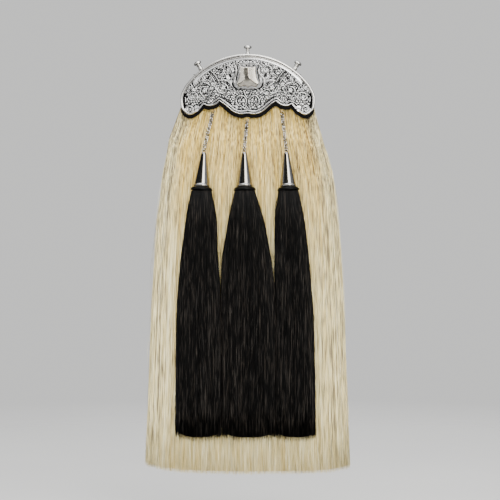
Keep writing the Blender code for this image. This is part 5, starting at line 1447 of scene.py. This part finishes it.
# The frame's own solid, merged, with its edges rounded as cut leather is.
def softCopy(node, name, width, segments):
    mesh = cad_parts[node].data.copy()
    work = bmesh.new()
    work.from_mesh(mesh)
    bmesh.ops.remove_doubles(work, verts=work.verts, dist=1e-6)
    bmesh.ops.dissolve_limit(work, angle_limit=0.02, verts=work.verts, edges=work.edges)
    work.to_mesh(mesh)
    work.free()
    mesh.materials.clear()
    mesh.materials.append(blackLeather)
    mesh.shade_smooth()
    piece = bpy.data.objects.new(name, mesh)
    bpy.context.scene.collection.objects.link(piece)
    bevel = piece.modifiers.new("cutEdge", "BEVEL")
    bevel.width, bevel.segments, bevel.limit_method, bevel.angle_limit = width, segments, "ANGLE", 0.6
    bevel.harden_normals = True
    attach(piece, "root")
    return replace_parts(piece, node)


# Stitches: short closed capsules laid along a path, a little sunk into what they hold.
def stitchRow(path, facing, length=0.0026, gap=0.0014, radius=0.00038):
    path = np.asarray(path, float)
    total = np.linalg.norm(np.diff(path, axis=0), axis=1).sum()
    count = int(total // (length + gap))
    fine = along(path, count * 6 + 1)
    facing = np.asarray(facing, float)
    parts = []
    for i in range(count):
        start, end = fine[i * 6], fine[i * 6 + 4]
        t = np.linspace(0, 1, 6)[:, None]
        line = start + (end - start) * t + facing * (0.00030 * np.sin(np.pi * t) - 0.00012)
        parts.append(wire(line, radius * np.array([0.5, 0.9, 1, 1, 0.9, 0.5]), 6))
    return gather(parts)


pouch = {"topHalf": 0.070, "footHalf": 0.063, "corner": 0.030, "bottom": fall["pouchBottom"],
         "crownInset": 0.001, "backY": -0.0028, "seamInset": 0.0042, "seamTop": 0.0150,
         "mouthHalf": 0.062, "mouthZ": 0.0160}
strapLoop = {"x": 0.040, "padY": -0.0005, "padZ": 0.0172, "padHalf": 0.0066, "bandY": 0.0045,
             "bandX": 0.0062, "bandHalf": 0.0105, "stitch": (0.0020, 0.0011, 0.00032)}


# The pouch from behind: arched top, near straight sides, round lower corners.
def pouchOutline(inset):
    side, foot, corner = pouch["topHalf"] - inset, pouch["footHalf"] - inset, pouch["corner"] - inset
    bottom = pouch["bottom"] + inset
    radius = cantle["crownRadius"] - pouch["crownInset"] - inset
    angle = np.linspace(0, np.arcsin(side / radius), 30)
    arch = np.stack([radius * np.sin(angle), crownMiddle + radius * np.cos(angle)], -1)
    turn = np.linspace(0, np.pi / 2, 16)
    low = np.stack([foot - corner + corner * np.cos(turn), bottom + corner - corner * np.sin(turn)], -1)
    right = np.concatenate([arch, low])
    return np.concatenate([right, right[::-1][1:] * [-1, 1]])


# Rows of stitches as one piece of thread, all facing back.
def sewn(name, rows, *stitch):
    points, quads, triangles = gather([stitchRow(row, (0, 1, 0), *stitch) for row in rows])
    piece = meshObject(name, points, quads, thread, triangles)


# Stitching round the pouch's back panel, along its mouth and on the strap loops.
def makePouchTrim():
    outline = pouchOutline(pouch["seamInset"])
    outline = outline[outline[:, 1] < pouch["seamTop"]]
    left, right = outline[outline[:, 0] < 0][::-1], outline[outline[:, 0] >= 0]
    low = np.concatenate([right, left[::-1]])
    seam = np.stack([low[:, 0], np.full(len(low), pouch["backY"]), low[:, 1]], -1)
    half, backY, mouthZ = pouch["mouthHalf"], pouch["backY"], pouch["mouthZ"]
    sewn("pouchStitching", [seam, np.linspace((-half, backY, mouthZ), (half, backY, mouthZ), 40)])
    padY, padHalf, bandY, bandHalf = (strapLoop[key] for key in ("padY", "padHalf", "bandY", "bandHalf"))
    rows = []
    for x in (-strapLoop["x"], strapLoop["x"]):
        for z in (-strapLoop["padZ"], strapLoop["padZ"]):
            rows.append(np.linspace((x - padHalf, padY, z), (x + padHalf, padY, z), 12))
        for dx in (-strapLoop["bandX"], strapLoop["bandX"]):
            rows.append(np.linspace((x + dx, bandY, -bandHalf), (x + dx, bandY, bandHalf), 12))
    sewn("loopStitching", rows, *strapLoop["stitch"])


makeBacking()
softCopy("pouch", "pouchLeather", 0.0006, 3)
softCopy("strap_loop_left", "strapLoopLeft", 0.0005, 3)
softCopy("strap_loop_right", "strapLoopRight", 0.0005, 3)
makePouchTrim()
print("leather done")

# Studio: floor, camera, lights and the room that the silver reflects

studio = {"floorZ": -0.50, "floorRadius": 1.5, "distance": 1.60, "planeY": -0.040, "field": 0.5555,
          "eye": (0.00256, -0.1833), "pale": (0.80, 0.80, 0.79)}


# A pale round floor that fades out with distance from the middle.
def makeFloor():
    made, tree, shader = newMaterial("paleFloor")
    place = addNode(tree, "ShaderNodeTexCoord").outputs["Object"]
    apart = addNode(tree, "ShaderNodeVectorMath", {"operation": "LENGTH"}, i0=place).outputs["Value"]
    fade = addNode(tree, "ShaderNodeMapRange", Value=apart, **{
        "From Min": 0.35, "From Max": studio["floorRadius"], "To Min": 1.0, "To Max": 0.0}).outputs[0]
    cloud = addNode(tree, "ShaderNodeTexNoise", Vector=place, Scale=3.0).outputs["Fac"]
    tint = ramp(tree, cloud, [(0.3, (0.74, 0.74, 0.73)), (0.7, (0.78, 0.78, 0.77))])
    tree.links.new(tint, shader.inputs["Base Color"])
    tree.links.new(fade, shader.inputs["Alpha"])
    shader.inputs["Roughness"].default_value = 0.8
    angle = np.linspace(0, 2 * np.pi, 96, endpoint=False)
    radius = np.linspace(0, studio["floorRadius"], 12)[1:, None]
    flat = np.full((11, 96), studio["floorZ"])
    rings = np.stack([radius * np.cos(angle), radius * np.sin(angle), flat], -1)
    mesh = bpy.data.meshes.new("floor")
    points = np.concatenate([rings.reshape(-1, 3), [[0, 0, studio["floorZ"]]]])
    quads = gridFaces(11, 96, wrapColumns=True)
    a = np.arange(96)
    hub = np.stack([a, (a + 1) % 96, np.full(96, len(points) - 1)], -1)
    mesh.from_pydata(points.tolist(), [], quads.tolist() + hub[:, ::-1].tolist())
    mesh.materials.append(made)
    floor = bpy.data.objects.new("floor", mesh)
    bpy.context.scene.collection.objects.link(floor)
    floor.visible_glossy = False


# The world: pale to the camera. Reflections see a bright ceiling, a bright right and a dark left.
def makeRoom():
    world = bpy.data.worlds.new("studioRoom")
    bpy.context.scene.world = world
    world.use_nodes = True
    tree = world.node_tree
    background = tree.nodes["Background"]
    way = addNode(tree, "ShaderNodeTexCoord").outputs["Generated"]
    split = addNode(tree, "ShaderNodeSeparateXYZ", Vector=way)

    # A ramp over one direction; a stop's place runs from -1 to 1.
    def part(axis, stops):
        share = addNode(tree, "ShaderNodeMapRange", Value=split.outputs[axis],
                        **{"From Min": -1.0, "From Max": 1.0})
        return ramp(tree, share.outputs[0], [((place + 1) / 2, value) for place, value in stops])

    def blend(kind, first, second, factor=1.0):
        return addNode(tree, "ShaderNodeMix", {"data_type": "RGBA", "blend_type": kind}, i0=factor, i6=first,
                       i7=second).outputs[2]
    wall = part("Z", [(-1.0, 0.04), (-0.45, 0.10), (-0.18, 0.34), (0.0, 1.05), (0.12, 1.75), (0.26, 0.95),
                      (0.50, 0.60), (0.70, 1.0)])
    depth = part("Y", [(-1.0, 1.0), (0.0, 0.85), (0.30, 0.12), (1.0, 0.06)])
    flag = blend("MULTIPLY", part("X", [(-1.0, 1.0), (0.10, 1.0), (0.20, 0.42)]),
                 part("Z", [(0.26, 0.0), (0.33, 1.0), (0.55, 1.0), (0.62, 0.0)]))
    walls = blend("MIX", blend("MULTIPLY", wall, depth), (0.018, 0.018, 0.018, 1), flag)
    room = blend("LIGHTEN", walls, part("Z", [(0.70, 0.0), (0.84, 1.8)]))
    ray = addNode(tree, "ShaderNodeLightPath")
    glossy = addNode(tree, "ShaderNodeMix", {"data_type": "RGBA"}, i0=ray.outputs["Is Glossy Ray"],
                     i6=(0.90, 0.90, 0.90, 1), i7=room)
    seen = addNode(tree, "ShaderNodeMix", {"data_type": "RGBA"}, i0=ray.outputs["Is Camera Ray"],
                   i6=glossy.outputs[2], i7=(*studio["pale"], 1))
    tree.links.new(seen.outputs[2], background.inputs["Color"])
    background.inputs["Strength"].default_value = 1.0


# A soft rectangular light that faces a point.
def addPanel(name, place, aim, size, power, colour=(1, 1, 1), shine=True):
    lamp = bpy.data.lights.new(name, "AREA")
    lamp.shape, lamp.size, lamp.size_y = "RECTANGLE", size[0], size[1]
    lamp.energy, lamp.color = power, colour
    panel = bpy.data.objects.new(name, lamp)
    panel.location = place
    panel.rotation_euler = (Vector(aim) - Vector(place)).to_track_quat("-Z", "Y").to_euler()
    panel.visible_camera = False
    panel.visible_glossy = shine
    bpy.context.scene.collection.objects.link(panel)


makeFloor()
makeRoom()
addPanel("keyPanel", (0.8, -1.7, 0.8), (0, 0, -0.25), (1.3, 1.3), 34, (1.0, 0.98, 0.94))
addPanel("fillPanel", (-0.6, -2.0, 0.0), (0, 0, -0.28), (1.6, 1.6), 44, (0.99, 0.99, 1.0), shine=False)
addPanel("lowPanel", (0.2, -1.7, -0.9), (0, 0, -0.35), (1.4, 0.8), 24, shine=False)
addPanel("topPanel", (0.0, -0.4, 1.3), (0, 0, -0.1), (1.2, 0.7), 10)
addPanel("backPanel", (0.4, 1.5, 0.8), (0, 0, -0.2), (1.2, 1.2), 16, shine=False)

camera = bpy.data.cameras.new("camera")
camera.lens = 36.0 * studio["distance"] / studio["field"]
camera.sensor_width = 36.0
cameraObject = bpy.data.objects.new("camera", camera)
cameraObject.location = (studio["eye"][0], studio["planeY"] - studio["distance"], studio["eye"][1])
cameraObject.rotation_euler = (np.pi / 2, 0, 0)
bpy.context.scene.collection.objects.link(cameraObject)
bpy.context.scene.camera = cameraObject

print("studio done")
